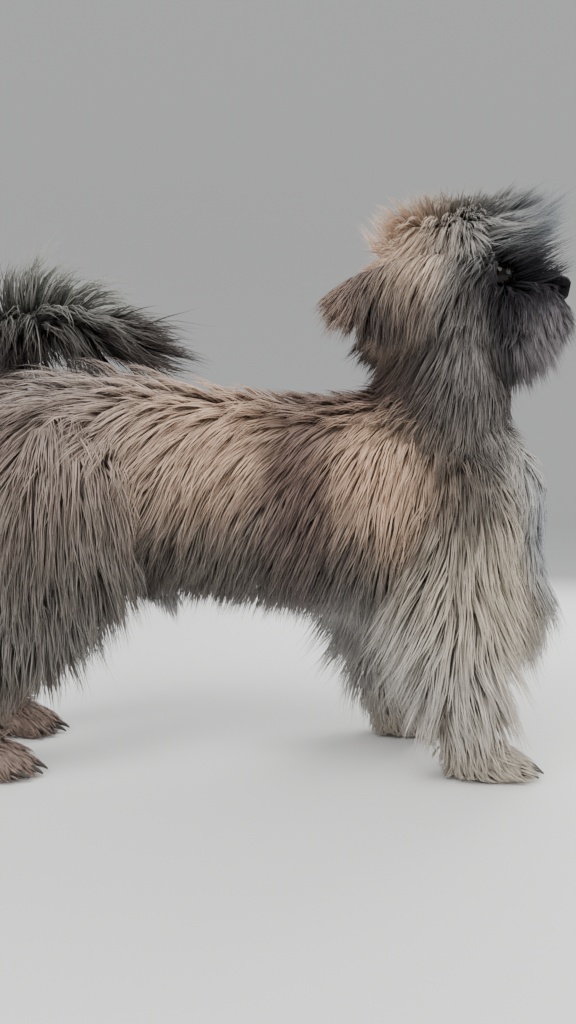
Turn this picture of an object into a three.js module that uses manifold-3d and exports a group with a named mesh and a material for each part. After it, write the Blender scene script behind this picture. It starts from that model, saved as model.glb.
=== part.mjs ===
// A life-size shih tzu standing in a walking stance, head up and tail curled over the back.
// Millimetres, +X to the nose, +Y to the dog's left, +Z up, the floor at z = 0.
import * as THREE from 'three';
import { mergeVertices } from 'three/addons/utils/BufferGeometryUtils.js';
import Module from 'manifold-3d';

const wasm = await Module();
wasm.setup();

// Driving dimensions: the bare body, then how deep the coat lies on it. The core of each
// sub-part holds part of that depth, and its locks reach the rest.
const GAP = 0.4; // between neighbouring sub-parts
const SLIVER = 0.01; // thinner faces are merged after the cuts
const BACK = 245; // height of the back at the withers, without coat
const BODY = { rump: -204, chest: 169, halfWidth: 62 };
const COAT = { back: 14, side: 22, belly: 22, leg: 14 };
const CORE = 0.4; // of the coat's depth
const SKULL = { at: [116, 0, 327], turn: -15 }; // its centre, and degrees about Z, so to its right
const EYE = { x: 33, y: 27, z: 1.5, radius: 9.5 };
const LEG_Y = 50; // from the middle plane to a leg's own centre
const FRONT_LEG_X = { right: 116, left: 80 };
const HIND_LEG_X = { right: -203, left: -216 };

const Y = new THREE.Vector3(0, 1, 0);
const DOWN = new THREE.Vector3(0, 0, -1);

// A repeatable draw from 0 to 1.
let seed = 7;
function random() {
  seed = (Math.imul(seed, 1664525) + 1013904223) >>> 0;
  return seed / 2 ** 32;
}
const vary = (value, share) => value * (1 + share * (2 * random() - 1));

// A closed form along a spine of stations [x, y, z, half width, up, down].
// Each ring lies square to the spine, with its width along `side` and its height along spine x side.
class Form {
  constructor(stations, { sides = 16, rings = 14, caps = [0.1, 0.1], power = 2, side = Y } = {}) {
    const points = stations.map(([x, y, z]) => new THREE.Vector3(x, y, z));
    const reaches = stations.map(([, , , wide, up, down]) => new THREE.Vector3(wide, up, down));
    this.spine = new THREE.CatmullRomCurve3(points, false, 'catmullrom', 0.5);
    this.reach = new THREE.CatmullRomCurve3(reaches, false, 'catmullrom', 0.5);
    Object.assign(this, { sides, rings, caps, power, side });
  }

  // How much of its full reach a ring has: 1 along the middle, rounding off to 0 at both ends.
  rounding(t) {
    const [start, end] = this.caps;
    const near = Math.min(t / start, (1 - t) / end, 1);
    return Math.sqrt(Math.max(0, 1 - (1 - near) ** 2));
  }

  // The axes and reach of the ring at t along the spine.
  section(t) {
    const centre = this.spine.getPoint(t);
    const along = this.spine.getTangent(t);
    const across = this.side.clone().addScaledVector(along, -this.side.dot(along)).normalize();
    const upward = along.clone().cross(across);
    return { centre, along, across, upward, reach: this.reach.getPoint(t) };
  }

  // The point of the surface at t along the spine and `angle` round it, from the side towards up.
  point(t, angle) {
    const { centre, across, upward, reach } = this.section(t);
    const share = this.rounding(t);
    const bulge = (value) => Math.sign(value) * Math.abs(value) ** (2 / this.power);
    const rise = Math.sin(angle) > 0 ? reach.y : reach.z;
    return centre
      .addScaledVector(across, bulge(Math.cos(angle)) * reach.x * share)
      .addScaledVector(upward, bulge(Math.sin(angle)) * rise * share);
  }

  normal(t, angle) {
    const step = 0.01;
    const ahead = this.point(Math.min(t + step, 1), angle);
    const forward = ahead.sub(this.point(Math.max(t - step, 0), angle));
    const round = this.point(t, angle + step).sub(this.point(t, angle - step));
    return round.cross(forward).normalize();
  }

  // The section whose plane holds a point, with the point's place in it. Where several planes
  // hold it, as on the inside of a bend, the nearest one is meant.
  sectionBy(point) {
    const steps = 40;
    const farAway = 0.05;
    let best;
    for (let i = 0; i <= steps; i++) {
      const section = this.section(i / steps);
      const from = point.clone().sub(section.centre);
      const off = Math.abs(from.dot(section.along)) + farAway * from.length();
      if (!best || off < best.off) best = { ...section, from, off, end: i === 0 || i === steps };
    }
    const { from, across, upward, reach } = best;
    const rise = from.dot(upward);
    return { ...best, wide: from.dot(across) / reach.x, high: rise / (rise > 0 ? reach.y : reach.z) };
  }

  // Whether a point lies in the form, or within `margin` of it.
  holds(point, margin = 0) {
    const { from, wide, high, end } = this.sectionBy(point);
    const share = (wide ** this.power + high ** this.power) ** (1 / this.power);
    return !end && (Math.abs(share) < 1 || from.length() * (1 - 1 / share) < margin);
  }

  // The point moved across its section on to the surface, `lift` above it.
  lay(point, lift) {
    const { centre, from, along, wide, high } = this.sectionBy(point);
    const share = (Math.abs(wide) ** this.power + Math.abs(high) ** this.power) ** (1 / this.power);
    const flat = from.clone().addScaledVector(along, -from.dot(along));
    const reach = flat.length() / share + lift;
    return centre.clone().add(flat.setLength(reach)).addScaledVector(along, from.dot(along));
  }

  // Rings stand closer together towards the ends, where the form rounds off.
  ringAt(step) {
    const crowding = 0.6;
    const v = step / this.rings;
    return v - (crowding * Math.sin(2 * Math.PI * v)) / (2 * Math.PI);
  }

  get geometry() {
    const ball = new THREE.SphereGeometry(1, this.sides, this.rings);
    const place = ball.getAttribute('position');
    for (let ring = 0; ring <= this.rings; ring++)
      for (let i = 0; i <= this.sides; i++) {
        const angle = (-2 * Math.PI * (i % this.sides)) / this.sides;
        const point = this.point(this.ringAt(ring), angle);
        place.setXYZ(ring * (this.sides + 1) + i, point.x, point.y, point.z);
      }
    return ball;
  }
}

// A geometry, with its surface pushed out by `grow`, as a solid that can be joined and cut.
function solid(geometry, grow = 0) {
  const bare = geometry.clone();
  bare.deleteAttribute('normal');
  bare.deleteAttribute('uv');
  const merged = mergeVertices(bare, 1e-4);
  merged.computeVertexNormals();
  const place = merged.getAttribute('position');
  const normal = merged.getAttribute('normal');
  for (let i = 0; i < place.count; i++)
    place.setXYZ(
      i,
      place.getX(i) + grow * normal.getX(i),
      place.getY(i) + grow * normal.getY(i),
      place.getZ(i) + grow * normal.getZ(i),
    );
  return new wasm.Manifold(
    new wasm.Mesh({
      numProp: 3,
      vertProperties: merged.getAttribute('position').array,
      triVerts: Uint32Array.from(merged.index.array),
    }),
  );
}

// One flat, tapered lock, from a root sunk in the core over a knee to its tip. Its section is a
// low triangle with the ridge outward. It is a little narrower at the root, widest near the
// middle, and drawn to a point. Grown, its faces move out by `grow`, for which its sharp edges
// move several times as far, as GROWN says.
const LOCK = { sides: 3, steps: 3, sink: 5 };
const TAPER = { root: 0.12, power: 0.8 };
const GROWN = { edge: 4.6, ridge: 1.2, base: 2, tip: 4 };
function lock({ root, knee, tip, normal, wide, thick }, grow = 0) {
  const path = new THREE.QuadraticBezierCurve3(root, knee, tip);
  const geometry = new THREE.ConeGeometry(1, 1, LOCK.sides, LOCK.steps);
  const place = geometry.getAttribute('position');
  for (let i = 0; i < place.count; i++) {
    const t = Math.min(1, place.getY(i) + 0.5);
    const unit = t < 1 ? 1 / (1 - t) : 0;
    const along = path.getTangent(t);
    const across = along.clone().cross(normal).normalize();
    const outward = across.clone().cross(along);
    const taper = Math.sin(Math.PI * (TAPER.root + (1 - TAPER.root) * t)) ** TAPER.power;
    const sideways = place.getX(i) * unit * (wide * taper + GROWN.edge * grow);
    const ridge = place.getZ(i) * unit;
    const rise = ridge * (thick * taper + (ridge > 0 ? GROWN.ridge : GROWN.base) * grow);
    const point = path
      .getPoint(t)
      .addScaledVector(across, sideways)
      .addScaledVector(outward, rise)
      .addScaledVector(along, t < 1 ? 0 : GROWN.tip * grow);
    place.setXYZ(i, point.x, point.y, point.z);
  }
  return solid(geometry);
}

// Locks in staggered rows over a form. Each of `rows` is at t along the spine, and its `count`
// locks fill `arc`, a range of angles. A lock lies towards `lie`, over the form by the share
// `hug` and straight out by the rest, and its tip stands `lift` off and hangs by `droop`.
// `skip` says where none grows. STAGGER says how far odd rows are shifted, as a share of the
// room a lock has, and how much places, lengths, heights and widths vary.
const STAGGER = { shift: 0.5, place: 0.2, length: 0.12, lift: 0.2, wide: 0.1 };
const KNEE = { reach: 0.45, lift: 1.7 }; // how far along a lock its knee is, and how much higher
function dress(form, plan) {
  const { rows, count, arc, lie, length, wide, thick = 3, lift = 4, hug = 1, droop = 0, skip } = plan;
  const locks = [];
  rows.forEach((t, row) => {
    const start = STAGGER.shift / 2 + (row % 2) * STAGGER.shift;
    for (let i = 0; i < count; i++) {
      const share = (i + start + STAGGER.place * (random() - 0.5)) / count;
      const angle = THREE.MathUtils.degToRad(arc[0] + share * (arc[1] - arc[0]));
      const from = form.point(t, angle);
      const normal = form.normal(t, angle);
      const way = lie(from, normal, t);
      const flat = way.addScaledVector(normal, -way.dot(normal)).normalize();
      const reach = vary(length, STAGGER.length);
      const high = vary(lift, STAGGER.lift);
      const over = (distance, height) => {
        const free = from.clone().addScaledVector(flat, distance).addScaledVector(normal, height);
        return free.lerp(form.lay(free, height), hug);
      };
      // The knee clears the round of the form between the root and the tip.
      const middle = from.clone().lerp(over(reach, 0), 0.5);
      const round = hug * form.lay(middle, 0).distanceTo(middle);
      if (skip && skip(from)) continue;
      locks.push({
        root: from.clone().addScaledVector(normal, -LOCK.sink),
        knee: over(KNEE.reach * reach, KNEE.lift * high + round),
        tip: over(reach, high).addScaledVector(DOWN, droop),
        normal,
        wide: vary(wide, STAGGER.wide),
        thick,
      });
    }
  });
  return locks;
}

function join(solids) {
  return solids.reduce((all, next) => all.add(next));
}

// The largest closed surface of a solid, without loose scraps or sealed hollows.
function largest(shape) {
  return shape.decompose().sort((a, b) => b.volume() - a.volume())[0];
}

// Left and right stand at +Y and -Y.
const SIDES = { left: 1, right: -1 };

// Torso: rump, loin, ribs and chest, as [x, top, bottom, half width] of the bare body.
const TRUNK = [
  [BODY.rump, 222, 186, 16],
  [-192, 244, 160, 40],
  [-165, BACK + 8, 140, 52],
  [-120, BACK + 9, 130, 55],
  [-70, BACK + 4, 127, 54],
  [-15, BACK - 3, 121, 59],
  [35, BACK - 2, 113, BODY.halfWidth],
  [75, BACK + 1, 107, 61],
  [112, BACK - 5, 106, 56],
  [142, BACK - 23, 110, 47],
  [158, BACK - 45, 118, 35],
  [BODY.chest, 172, 138, 14],
];
const trunk = new Form(
  TRUNK.map(([x, top, bottom, wide], i) => {
    const ends = [-1, ...Array(TRUNK.length - 2).fill(0), 1];
    const axis = 0.55 * top + 0.45 * bottom;
    return [
      x + ends[i] * CORE * COAT.side,
      0,
      axis,
      wide + CORE * COAT.side,
      top - axis + CORE * COAT.back,
      axis - bottom + CORE * COAT.belly,
    ];
  }),
  { sides: 18, rings: 14, caps: [0.12, 0.12], power: 2.2 },
);

// Breast, from which the chest hair falls in front of the legs.
const breast = new Form(
  [
    [138, 0, 196, 30, 16, 18],
    [152, 0, 162, 34, 18, 20],
    [157, 0, 130, 33, 18, 22],
    [154, 0, 104, 24, 15, 18],
    [148, 0, 92, 12, 8, 10],
  ],
  { sides: 14, rings: 8, caps: [0.2, 0.25] },
);

// Neck, from between the shoulders up to the back of the skull.
const neck = new Form(
  [
    [88, 0, 192, 44, 42, 46],
    [102, 0, 228, 46, 42, 48],
    [110, 0, 258, 43, 41, 44],
    [110, 0, 288, 36, 36, 34],
    [108, 0, 312, 24, 24, 24],
  ],
  { sides: 14, rings: 7, caps: [0.15, 0.15] },
);

// Legs, as [x from the foot, y from the leg's centre, z, half width, front, back] of the bare leg.
const FORELEG = [
  [2, -6, 196, 16, 20, 20],
  [0, -2, 160, 24, 28, 32],
  [-10, 2, 120, 23, 25, 34],
  [-4, 0, 85, 20, 22, 24],
  [0, 0, 55, 18, 19, 21],
  [0, 0, 24, 17, 18, 19],
];
const HINDLEG = [
  [52, -10, 226, 16, 20, 20],
  [54, 0, 186, 27, 46, 40],
  [62, 4, 146, 29, 38, 50],
  [44, 4, 106, 22, 30, 34],
  [14, 2, 74, 16, 18, 22],
  [0, 1, 52, 15, 16, 17],
  [0, 0, 24, 15, 16, 17],
];
function legForm(shape, x, sign) {
  const coat = CORE * COAT.leg;
  const stations = shape.map(([dx, dy, z, wide, front, back]) => [
    x + dx,
    sign * (LEG_Y + dy),
    z,
    wide + coat,
    front + coat,
    back + coat,
  ]);
  return new Form(stations, { sides: 12, rings: 10, caps: [0.12, 0.06] });
}
const legs = {};
for (const [side, sign] of Object.entries(SIDES)) {
  legs[`front_${side}`] = legForm(FORELEG, FRONT_LEG_X[side], sign);
  legs[`hind_${side}`] = legForm(HINDLEG, HIND_LEG_X[side], sign);
}
const underLegs = (margin) => (point) => Object.values(legs).some((leg) => leg.holds(point, margin));

// The coat runs back and down from the spine, and its locks overlap like shingles.
const SHEATH = { t: 0.3 }; // where its tuft hangs from the belly
const fall = (forward, down) => () => new THREE.Vector3(forward, 0, -down);
function torsoLocks() {
  const body = { wide: 16, length: 82, lift: 8 };
  const underNeck = (point) => neck.holds(point, 10);
  const skip = (point) => underLegs(-4)(point) || underNeck(point);
  const columns = [0.05, 0.14, 0.23, 0.32, 0.41, 0.5, 0.59, 0.68, 0.77, 0.86, 0.95];
  return [
    ...dress(trunk, {
      ...body,
      rows: [0.2, 0.32, 0.44, 0.56, 0.68],
      count: 3,
      arc: [50, 120],
      lie: (from) => new THREE.Vector3(-1, 0.02 * from.y, 0),
      skip: underNeck,
    }),
    ...[0, 180].flatMap((side) =>
      dress(trunk, {
        ...body,
        rows: columns,
        count: 3,
        arc: side ? [116, 228] : [64, -48],
        lie: fall(-0.4, 1),
        hug: 0.75,
        droop: 3,
        skip,
      }),
    ),
    ...dress(trunk, {
      ...body,
      rows: [0.42, 0.64],
      count: 2,
      arc: [246, 294],
      lie: fall(-1, 0.3),
      length: 44,
      droop: 10,
      skip,
    }),
    ...dress(trunk, {
      ...body,
      rows: [SHEATH.t],
      count: 2,
      arc: [262, 278],
      lie: fall(0.3, 1),
      length: 34,
      wide: 8,
      droop: 16,
    }),
    ...dress(breast, {
      ...body,
      rows: [0.06, 0.38, 0.7],
      count: 3,
      arc: [10, 170],
      lie: fall(0.05, 1),
      length: 62,
      hug: 0.5,
    }),
  ];
}

function neckLocks() {
  return dress(neck, {
    rows: [0.54],
    count: 9,
    arc: [0, 360],
    lie: (from) => new THREE.Vector3(from.x < 110 ? -0.5 : 0, 0, -1),
    length: 60,
    wide: 15,
    lift: 7,
    hug: 0.5,
  });
}

// Head, in its own axes: x to the nose, y to the left, z up, from the centre of the skull.
const HEAD_PLACE = new THREE.Matrix4()
  .makeRotationZ(THREE.MathUtils.degToRad(SKULL.turn))
  .setPosition(...SKULL.at);
const onHead = (shape) => shape.transform(HEAD_PLACE.elements);

const skull = new Form(
  [
    [-54, 0, 2, 8, 8, 8],
    [-42, 0, 2, 34, 32, 34],
    [-18, 0, 3, 47, 41, 46],
    [6, 0, 1, 48, 42, 48],
    [24, 0, 0, 38, 34, 42],
    [35, 0, -4, 27, 21, 30],
    [42, 0, -6, 13, 8, 10],
  ],
  { sides: 18, rings: 11, caps: [0.15, 0.15] },
);
const crown = new Form(
  [
    [-44, 0, 18, 20, 20, 20],
    [-20, 0, 26, 38, 28, 26],
    [8, 0, 30, 42, 27, 22],
    [34, 0, 31, 32, 21, 16],
    [50, 0, 30, 12, 9, 7],
  ],
  { sides: 14, rings: 7, caps: [0.25, 0.3] },
);
const muzzle = new Form(
  [
    [12, 0, -12, 30, 13, 24],
    [36, 0, -12, 27, 12, 23],
    [56, 0, -12, 25, 11, 18],
    [68, 0, -12, 19, 10, 13],
    [75, 0, -12, 8, 5, 5],
  ],
  { sides: 16, rings: 9, caps: [0.1, 0.3], power: 2.3 },
);
const chin = new Form(
  [
    [6, 0, -38, 26, 12, 14],
    [36, 0, -39, 22, 11, 13],
    [56, 0, -38, 15, 8, 9],
    [67, 0, -37, 6, 4, 4],
  ],
  { sides: 12, rings: 8, caps: [0.2, 0.3] },
);
const LIP = { x: 59, y: 12, z: -18, radii: [15, 13, 11] };
const LID = { radius: 8.9, thick: 2.1, forward: 3.4, outward: 28, stretch: 1.12 };
const MOUTH = [
  [40, 27, -31],
  [58, 21, -30],
  [70, 9, -27.5],
  [74, 0, -23],
];

function lips(sign) {
  return new THREE.SphereGeometry(1, 8, 6)
    .scale(...LIP.radii)
    .translate(LIP.x, sign * LIP.y, LIP.z);
}

function lid(sign) {
  return new THREE.TorusGeometry(LID.radius, LID.thick, 4, 10)
    .scale(LID.stretch, 1, 1)
    .translate(0, 0, LID.forward)
    .rotateY(Math.PI / 2)
    .rotateX(Math.PI / 2)
    .rotateZ(THREE.MathUtils.degToRad(sign * LID.outward))
    .translate(EYE.x, sign * EYE.y, EYE.z);
}

// The line between the lips, as a fine four-sided cut that follows them round the muzzle.
const MOUTH_CUT = 1.6;
function mouthCut(sign) {
  const path = new THREE.CatmullRomCurve3(MOUTH.map(([x, y, z]) => new THREE.Vector3(x, sign * y, z)));
  const section = new THREE.Shape([
    new THREE.Vector2(-MOUTH_CUT, 0),
    new THREE.Vector2(0, -MOUTH_CUT),
    new THREE.Vector2(MOUTH_CUT, 0),
    new THREE.Vector2(0, MOUTH_CUT),
  ]);
  return new THREE.ExtrudeGeometry(section, { extrudePath: path, steps: 8, bevelEnabled: false });
}

// Hair of the head parts along the nose and stands away from it: up and back on the crown, down
// over the cheeks, and forward and down from the lips.
const eyeAt = (sign) => new THREE.Vector3(EYE.x, sign * EYE.y, EYE.z);
const nearEye = (point, margin) =>
  [1, -1].some((sign) => eyeAt(sign).distanceTo(point) < EYE.radius + margin);
const inNeck = (point) => neck.holds(point.clone().applyMatrix4(HEAD_PLACE), 6);

function headLocks() {
  const fromTop = (from) => new THREE.Vector3(from.x - 4, from.y, 0);
  const cheekLie = (from) => new THREE.Vector3(-0.2, 0.25 * Math.sign(from.y), -1);
  return [
    ...dress(crown, {
      rows: [0.2, 0.46, 0.72],
      count: 4,
      arc: [15, 165],
      lie: fromTop,
      length: 46,
      wide: 17,
      lift: 10,
      hug: 0.6,
    }),
    ...dress(crown, {
      rows: [0.9],
      count: 3,
      arc: [20, 160],
      lie: (from) => new THREE.Vector3(1, 0.01 * from.y, 0.4),
      length: 40,
      wide: 12,
      lift: 8,
      hug: 0,
    }),
    ...[0, 180].flatMap((side) =>
      dress(skull, {
        rows: [0.34, 0.52, 0.7],
        count: 2,
        arc: side ? [182, 232] : [-2, -52],
        lie: cheekLie,
        length: 46,
        wide: 13,
        lift: 6,
        hug: 0.3,
        skip: (point) => nearEye(point, 9) || inNeck(point),
      }),
    ),
    ...dress(skull, {
      rows: [0.16],
      count: 5,
      arc: [0, 180],
      lie: (from) => new THREE.Vector3(-0.4, 0.01 * from.y, -1),
      length: 46,
      wide: 17,
      lift: 9,
      hug: 0.4,
      skip: inNeck,
    }),
    ...[0, 180].flatMap((side) =>
      dress(muzzle, {
        rows: [0.3, 0.48, 0.66],
        count: 1,
        arc: side ? [186, 200] : [-6, -20],
        lie: (from) => new THREE.Vector3(0.25, 0.5 * Math.sign(from.y), -1),
        length: 40,
        wide: 11,
        lift: 8,
        hug: 0,
      }),
    ),
    ...dress(chin, {
      rows: [0.5, 0.8],
      count: 3,
      arc: [200, 340],
      lie: (from) => new THREE.Vector3(0.3, 0.015 * from.y, -1),
      length: 30,
      wide: 11,
      lift: 8,
      hug: 0,
      droop: 8,
      skip: inNeck,
    }),
  ];
}

function headSolid(grow) {
  const forms = [skull, crown, muzzle, chin].map((form) => form.geometry);
  const bare = [...forms, lips(1), lips(-1), lid(1), lid(-1)].map((piece) => solid(piece, grow));
  const hair = headLockShapes.map((shape) => lock(shape, grow));
  const closed = join([...bare, ...hair]);
  return onHead(closed.subtract(solid(mouthCut(1))).subtract(solid(mouthCut(-1))));
}

function eye(sign, radius) {
  const ball = new THREE.SphereGeometry(radius, 12, 7);
  return onHead(solid(ball.translate(EYE.x, sign * EYE.y, EYE.z)));
}

// Nose leather, with a nostril bored into each side of its front.
const noseForm = new Form(
  [
    [64, 0, -2, 9, 6.5, 7],
    [73, 0, -2, 11.5, 8, 8.5],
    [79, 0, -2, 7, 5, 5.5],
  ],
  { sides: 12, rings: 7, caps: [0.3, 0.5], power: 2.4 },
);
const NOSTRIL = { x: 80, y: 4.6, z: -2.5, radii: [5, 2.1, 1.7], outward: 20 };
function nostril(sign) {
  const bore = new THREE.SphereGeometry(1, 6, 4)
    .scale(...NOSTRIL.radii)
    .rotateZ(THREE.MathUtils.degToRad(-sign * NOSTRIL.outward));
  return solid(bore.translate(NOSTRIL.x, sign * NOSTRIL.y, NOSTRIL.z));
}
function nose(grow) {
  const leather = solid(noseForm.geometry, grow);
  return onHead(grow ? leather : leather.subtract(nostril(1)).subtract(nostril(-1)));
}

// Ear: a leaf that swings back and out from the side of the skull, hollow on its inner face.
// Its spine runs back, so `up` of a station is towards the ear's lower edge.
const EAR = [
  [6, 40, 4, 7, 10, 10],
  [-12, 57, -3, 6, 22, 14],
  [-36, 66, -11, 5.5, 28, 15],
  [-58, 69, -16, 5, 23, 14],
  [-76, 67, -20, 4, 9, 9],
];
function earForm(sign, shape = EAR, fine = { sides: 10, rings: 8 }) {
  const stations = shape.map(([x, y, z, wide, lower, upper]) => [x, sign * y, z, wide, lower, upper]);
  return new Form(stations, { ...fine, caps: [0.2, 0.3] });
}
const CUP = { inward: 8, deeper: 0.5, share: 0.62 }; // of the ear's own place, depth and height
const EAR_CUP = EAR.slice(1, 4).map(([x, y, z, wide, lower, upper]) => [
  x,
  y - CUP.inward,
  z,
  wide + CUP.deeper,
  CUP.share * lower,
  CUP.share * upper,
]);
function earLocks(sign) {
  return dress(earForm(sign), {
    rows: [0.22, 0.44, 0.66, 0.84],
    count: 2,
    arc: sign > 0 ? [-10, 90] : [190, 90],
    lie: (from, normal, t) => new THREE.Vector3(0.3 - 0.5 * t, 0, -1),
    length: 58,
    wide: 12,
    lift: 3,
    hug: 0.3,
  });
}
function earSolid(sign, grow, locks) {
  const whole = join([solid(earForm(sign).geometry, grow), ...locks.map((shape) => lock(shape, grow))]);
  return onHead(whole.subtract(solid(earForm(sign, EAR_CUP, { sides: 8, rings: 6 }).geometry)));
}

// Tail: it rises from the croup and curls forward over the back, with its plume round it.
const tail = new Form(
  [
    [-176, 0, 236, 12, 12, 12],
    [-200, 0, 262, 16, 15, 14],
    [-204, 0, 290, 19, 17, 15],
    [-182, 0, 308, 20, 17, 16],
    [-150, 0, 306, 20, 16, 15],
    [-122, 0, 297, 17, 13, 13],
    [-102, 0, 290, 9, 7, 7],
  ],
  { sides: 10, rings: 12, caps: [0.1, 0.25] },
);
function tailLocks() {
  const stream = (from, normal, t) => tail.section(t).along.clone().addScaledVector(DOWN, 0.15);
  return [
    ...dress(tail, {
      rows: [0.18, 0.33, 0.48, 0.63, 0.78],
      count: 3,
      arc: [25, 155],
      lie: stream,
      length: 50,
      wide: 13,
      lift: 16,
      hug: 0,
      droop: 6,
    }),
    ...[1, -1].flatMap((sign) =>
      dress(tail, {
        rows: [0.42, 0.66],
        count: 2,
        arc: sign > 0 ? [-10, -50] : [190, 230],
        lie: () => new THREE.Vector3(0.6, 0.4 * sign, -0.3),
        length: 44,
        wide: 12,
        lift: 10,
        hug: 0,
        droop: 6,
      }),
    ),
  ];
}

// Leg hair hangs round the whole column, and on the thigh it also sweeps forward.
function legLocks(name, sign) {
  const form = legs[name];
  const front = name.startsWith('front');
  const inTrunk = (point) => trunk.holds(point, 8) || breast.holds(point, 4);
  const outer = sign > 0 ? [-75, 75] : [105, 255];
  const feather = { lift: 6, hug: 0.6, skip: inTrunk };
  return [
    ...dress(form, {
      ...feather,
      rows: front ? [0.2, 0.38] : [0.13, 0.28, 0.43],
      count: 2,
      arc: outer,
      lie: front ? fall(0, 1) : fall(0.25, 1),
      length: 68,
      wide: front ? 15 : 18,
    }),
    ...dress(form, {
      ...feather,
      rows: front ? [0.56, 0.77] : [0.6, 0.79],
      count: 3,
      arc: [0, 360],
      lie: fall(0, 1),
      length: 46,
      wide: 15,
    }),
  ];
}

// Paw: heel to toes on a flat sole, with four toes and their claws.
const TOE = { across: [-15, -5, 5, 15], reach: [24, 30, 30, 24], z: 8, radii: [9, 4.8, 8] };
const CLAW = { radius: 2.2, length: 12, ahead: 11, z: 6, dip: 0.35 };
function paw(x, sign, grow) {
  const y = sign * LEG_Y;
  const pad = new Form(
    [
      [x - 22, y, 12, 8, 8, 14],
      [x - 14, y, 14, 19, 13, 16],
      [x + 4, y, 14, 22, 13, 16],
      [x + 20, y, 11, 20, 10, 13],
      [x + 27, y, 8, 10, 5, 9],
    ],
    { sides: 10, rings: 6, caps: [0.2, 0.25], power: 2.3 },
  );
  const toes = TOE.across.flatMap((across, i) => {
    const toe = new THREE.SphereGeometry(1, 6, 4)
      .scale(...TOE.radii)
      .translate(x + TOE.reach[i], y + across, TOE.z);
    const claw = new THREE.ConeGeometry(CLAW.radius, CLAW.length, 4)
      .rotateZ(-Math.PI / 2 - CLAW.dip)
      .translate(x + TOE.reach[i] + CLAW.ahead, y + across, CLAW.z);
    return [toe, claw];
  });
  return join([pad.geometry, ...toes].map((piece) => solid(piece, grow)));
}
const PAW_AHEAD = { front: 6, hind: 4 }; // of the leg's own place

// Everything under the floor, which flattens the soles.
const floor = solid(new THREE.BoxGeometry(1000, 600, 60).translate(0, 0, -30));

function meshOf(name, shape, color, roughness) {
  const { vertProperties, triVerts, numProp } = shape.getMesh();
  const position = new Float32Array((vertProperties.length / numProp) * 3);
  for (let i = 0; i < position.length / 3; i++)
    position.set(vertProperties.subarray(i * numProp, i * numProp + 3), i * 3);
  const geometry = new THREE.BufferGeometry();
  geometry.setAttribute('position', new THREE.BufferAttribute(position, 3));
  geometry.setIndex(new THREE.BufferAttribute(triVerts, 1));
  geometry.computeVertexNormals();
  const material = new THREE.MeshStandardMaterial({ color, roughness, metalness: 0 });
  const mesh = new THREE.Mesh(geometry, material);
  mesh.name = name;
  return mesh;
}

// Each sub-part at its own size and a gap's width larger, which cuts what is made after it.
const COLORS = { gold: '#8d7866', cream: '#b3a595', dark: '#4a3f3c', black: '#0d0b0b' };
const parts = [];
function add(name, make, color = COLORS.gold, roughness = 0.95) {
  const cuts = parts.map((part) => part.grown);
  const cut = cuts.reduce((left, other) => left.subtract(other), make(0)).subtract(floor);
  const shape = largest(cut).simplify(SLIVER);
  parts.push({ name, shape, grown: make(GAP).add(shape), color, roughness });
}
const dressed = (forms, locks) => (grow) =>
  join([...forms.map((form) => solid(form.geometry, grow)), ...locks.map((shape) => lock(shape, grow))]);

const headLockShapes = headLocks();
for (const [side, sign] of Object.entries(SIDES))
  add(`eye_${side}`, (grow) => eye(sign, EYE.radius + grow), COLORS.black, 0.08);
add('nose', nose, COLORS.black, 0.4);
add('head', headSolid, COLORS.dark);
for (const [side, sign] of Object.entries(SIDES)) {
  const locks = earLocks(sign);
  add(`ear_${side}`, (grow) => earSolid(sign, grow, locks), COLORS.dark);
}
add('torso', dressed([trunk, breast], torsoLocks()));
add('neck', dressed([neck], neckLocks()));
add('tail', dressed([tail], tailLocks()), COLORS.dark);
for (const [side, sign] of Object.entries(SIDES)) {
  const front = FRONT_LEG_X[side] + PAW_AHEAD.front;
  const hind = HIND_LEG_X[side] + PAW_AHEAD.hind;
  add(`paw_front_${side}`, (grow) => paw(front, sign, grow), COLORS.cream);
  add(`paw_hind_${side}`, (grow) => paw(hind, sign, grow), COLORS.cream);
}
for (const [side, sign] of Object.entries(SIDES))
  for (const end of ['front', 'hind']) {
    const name = `${end}_${side}`;
    const color = end === 'front' ? COLORS.cream : COLORS.gold;
    add(`leg_${name}`, dressed([legs[name]], legLocks(name, sign)), color);
  }

// The origin is on the floor under the middle of the whole dog.
const dog = new THREE.Group();
for (const { name, shape, color, roughness } of parts) dog.add(meshOf(name, shape, color, roughness));
const box = new THREE.Box3().setFromObject(dog);
const middle = box.getCenter(new THREE.Vector3());
dog.position.set(-middle.x, -middle.y, 0);

export default dog;
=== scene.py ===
# %% [markdown]
# # A small long-coated dog, life size
# The dog stands on a pale floor with its right side to the camera. Its head is a round ball of
# loose hair, its ears hang, and its tail curls forward over the back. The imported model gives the
# place and size of every part, so the first step loads it and keeps its box for later.

# %% Load the frame
import math

import bpy
import numpy as np
from mathutils import Matrix, Vector, kdtree, noise
from mathutils.bvhtree import BVHTree


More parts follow.
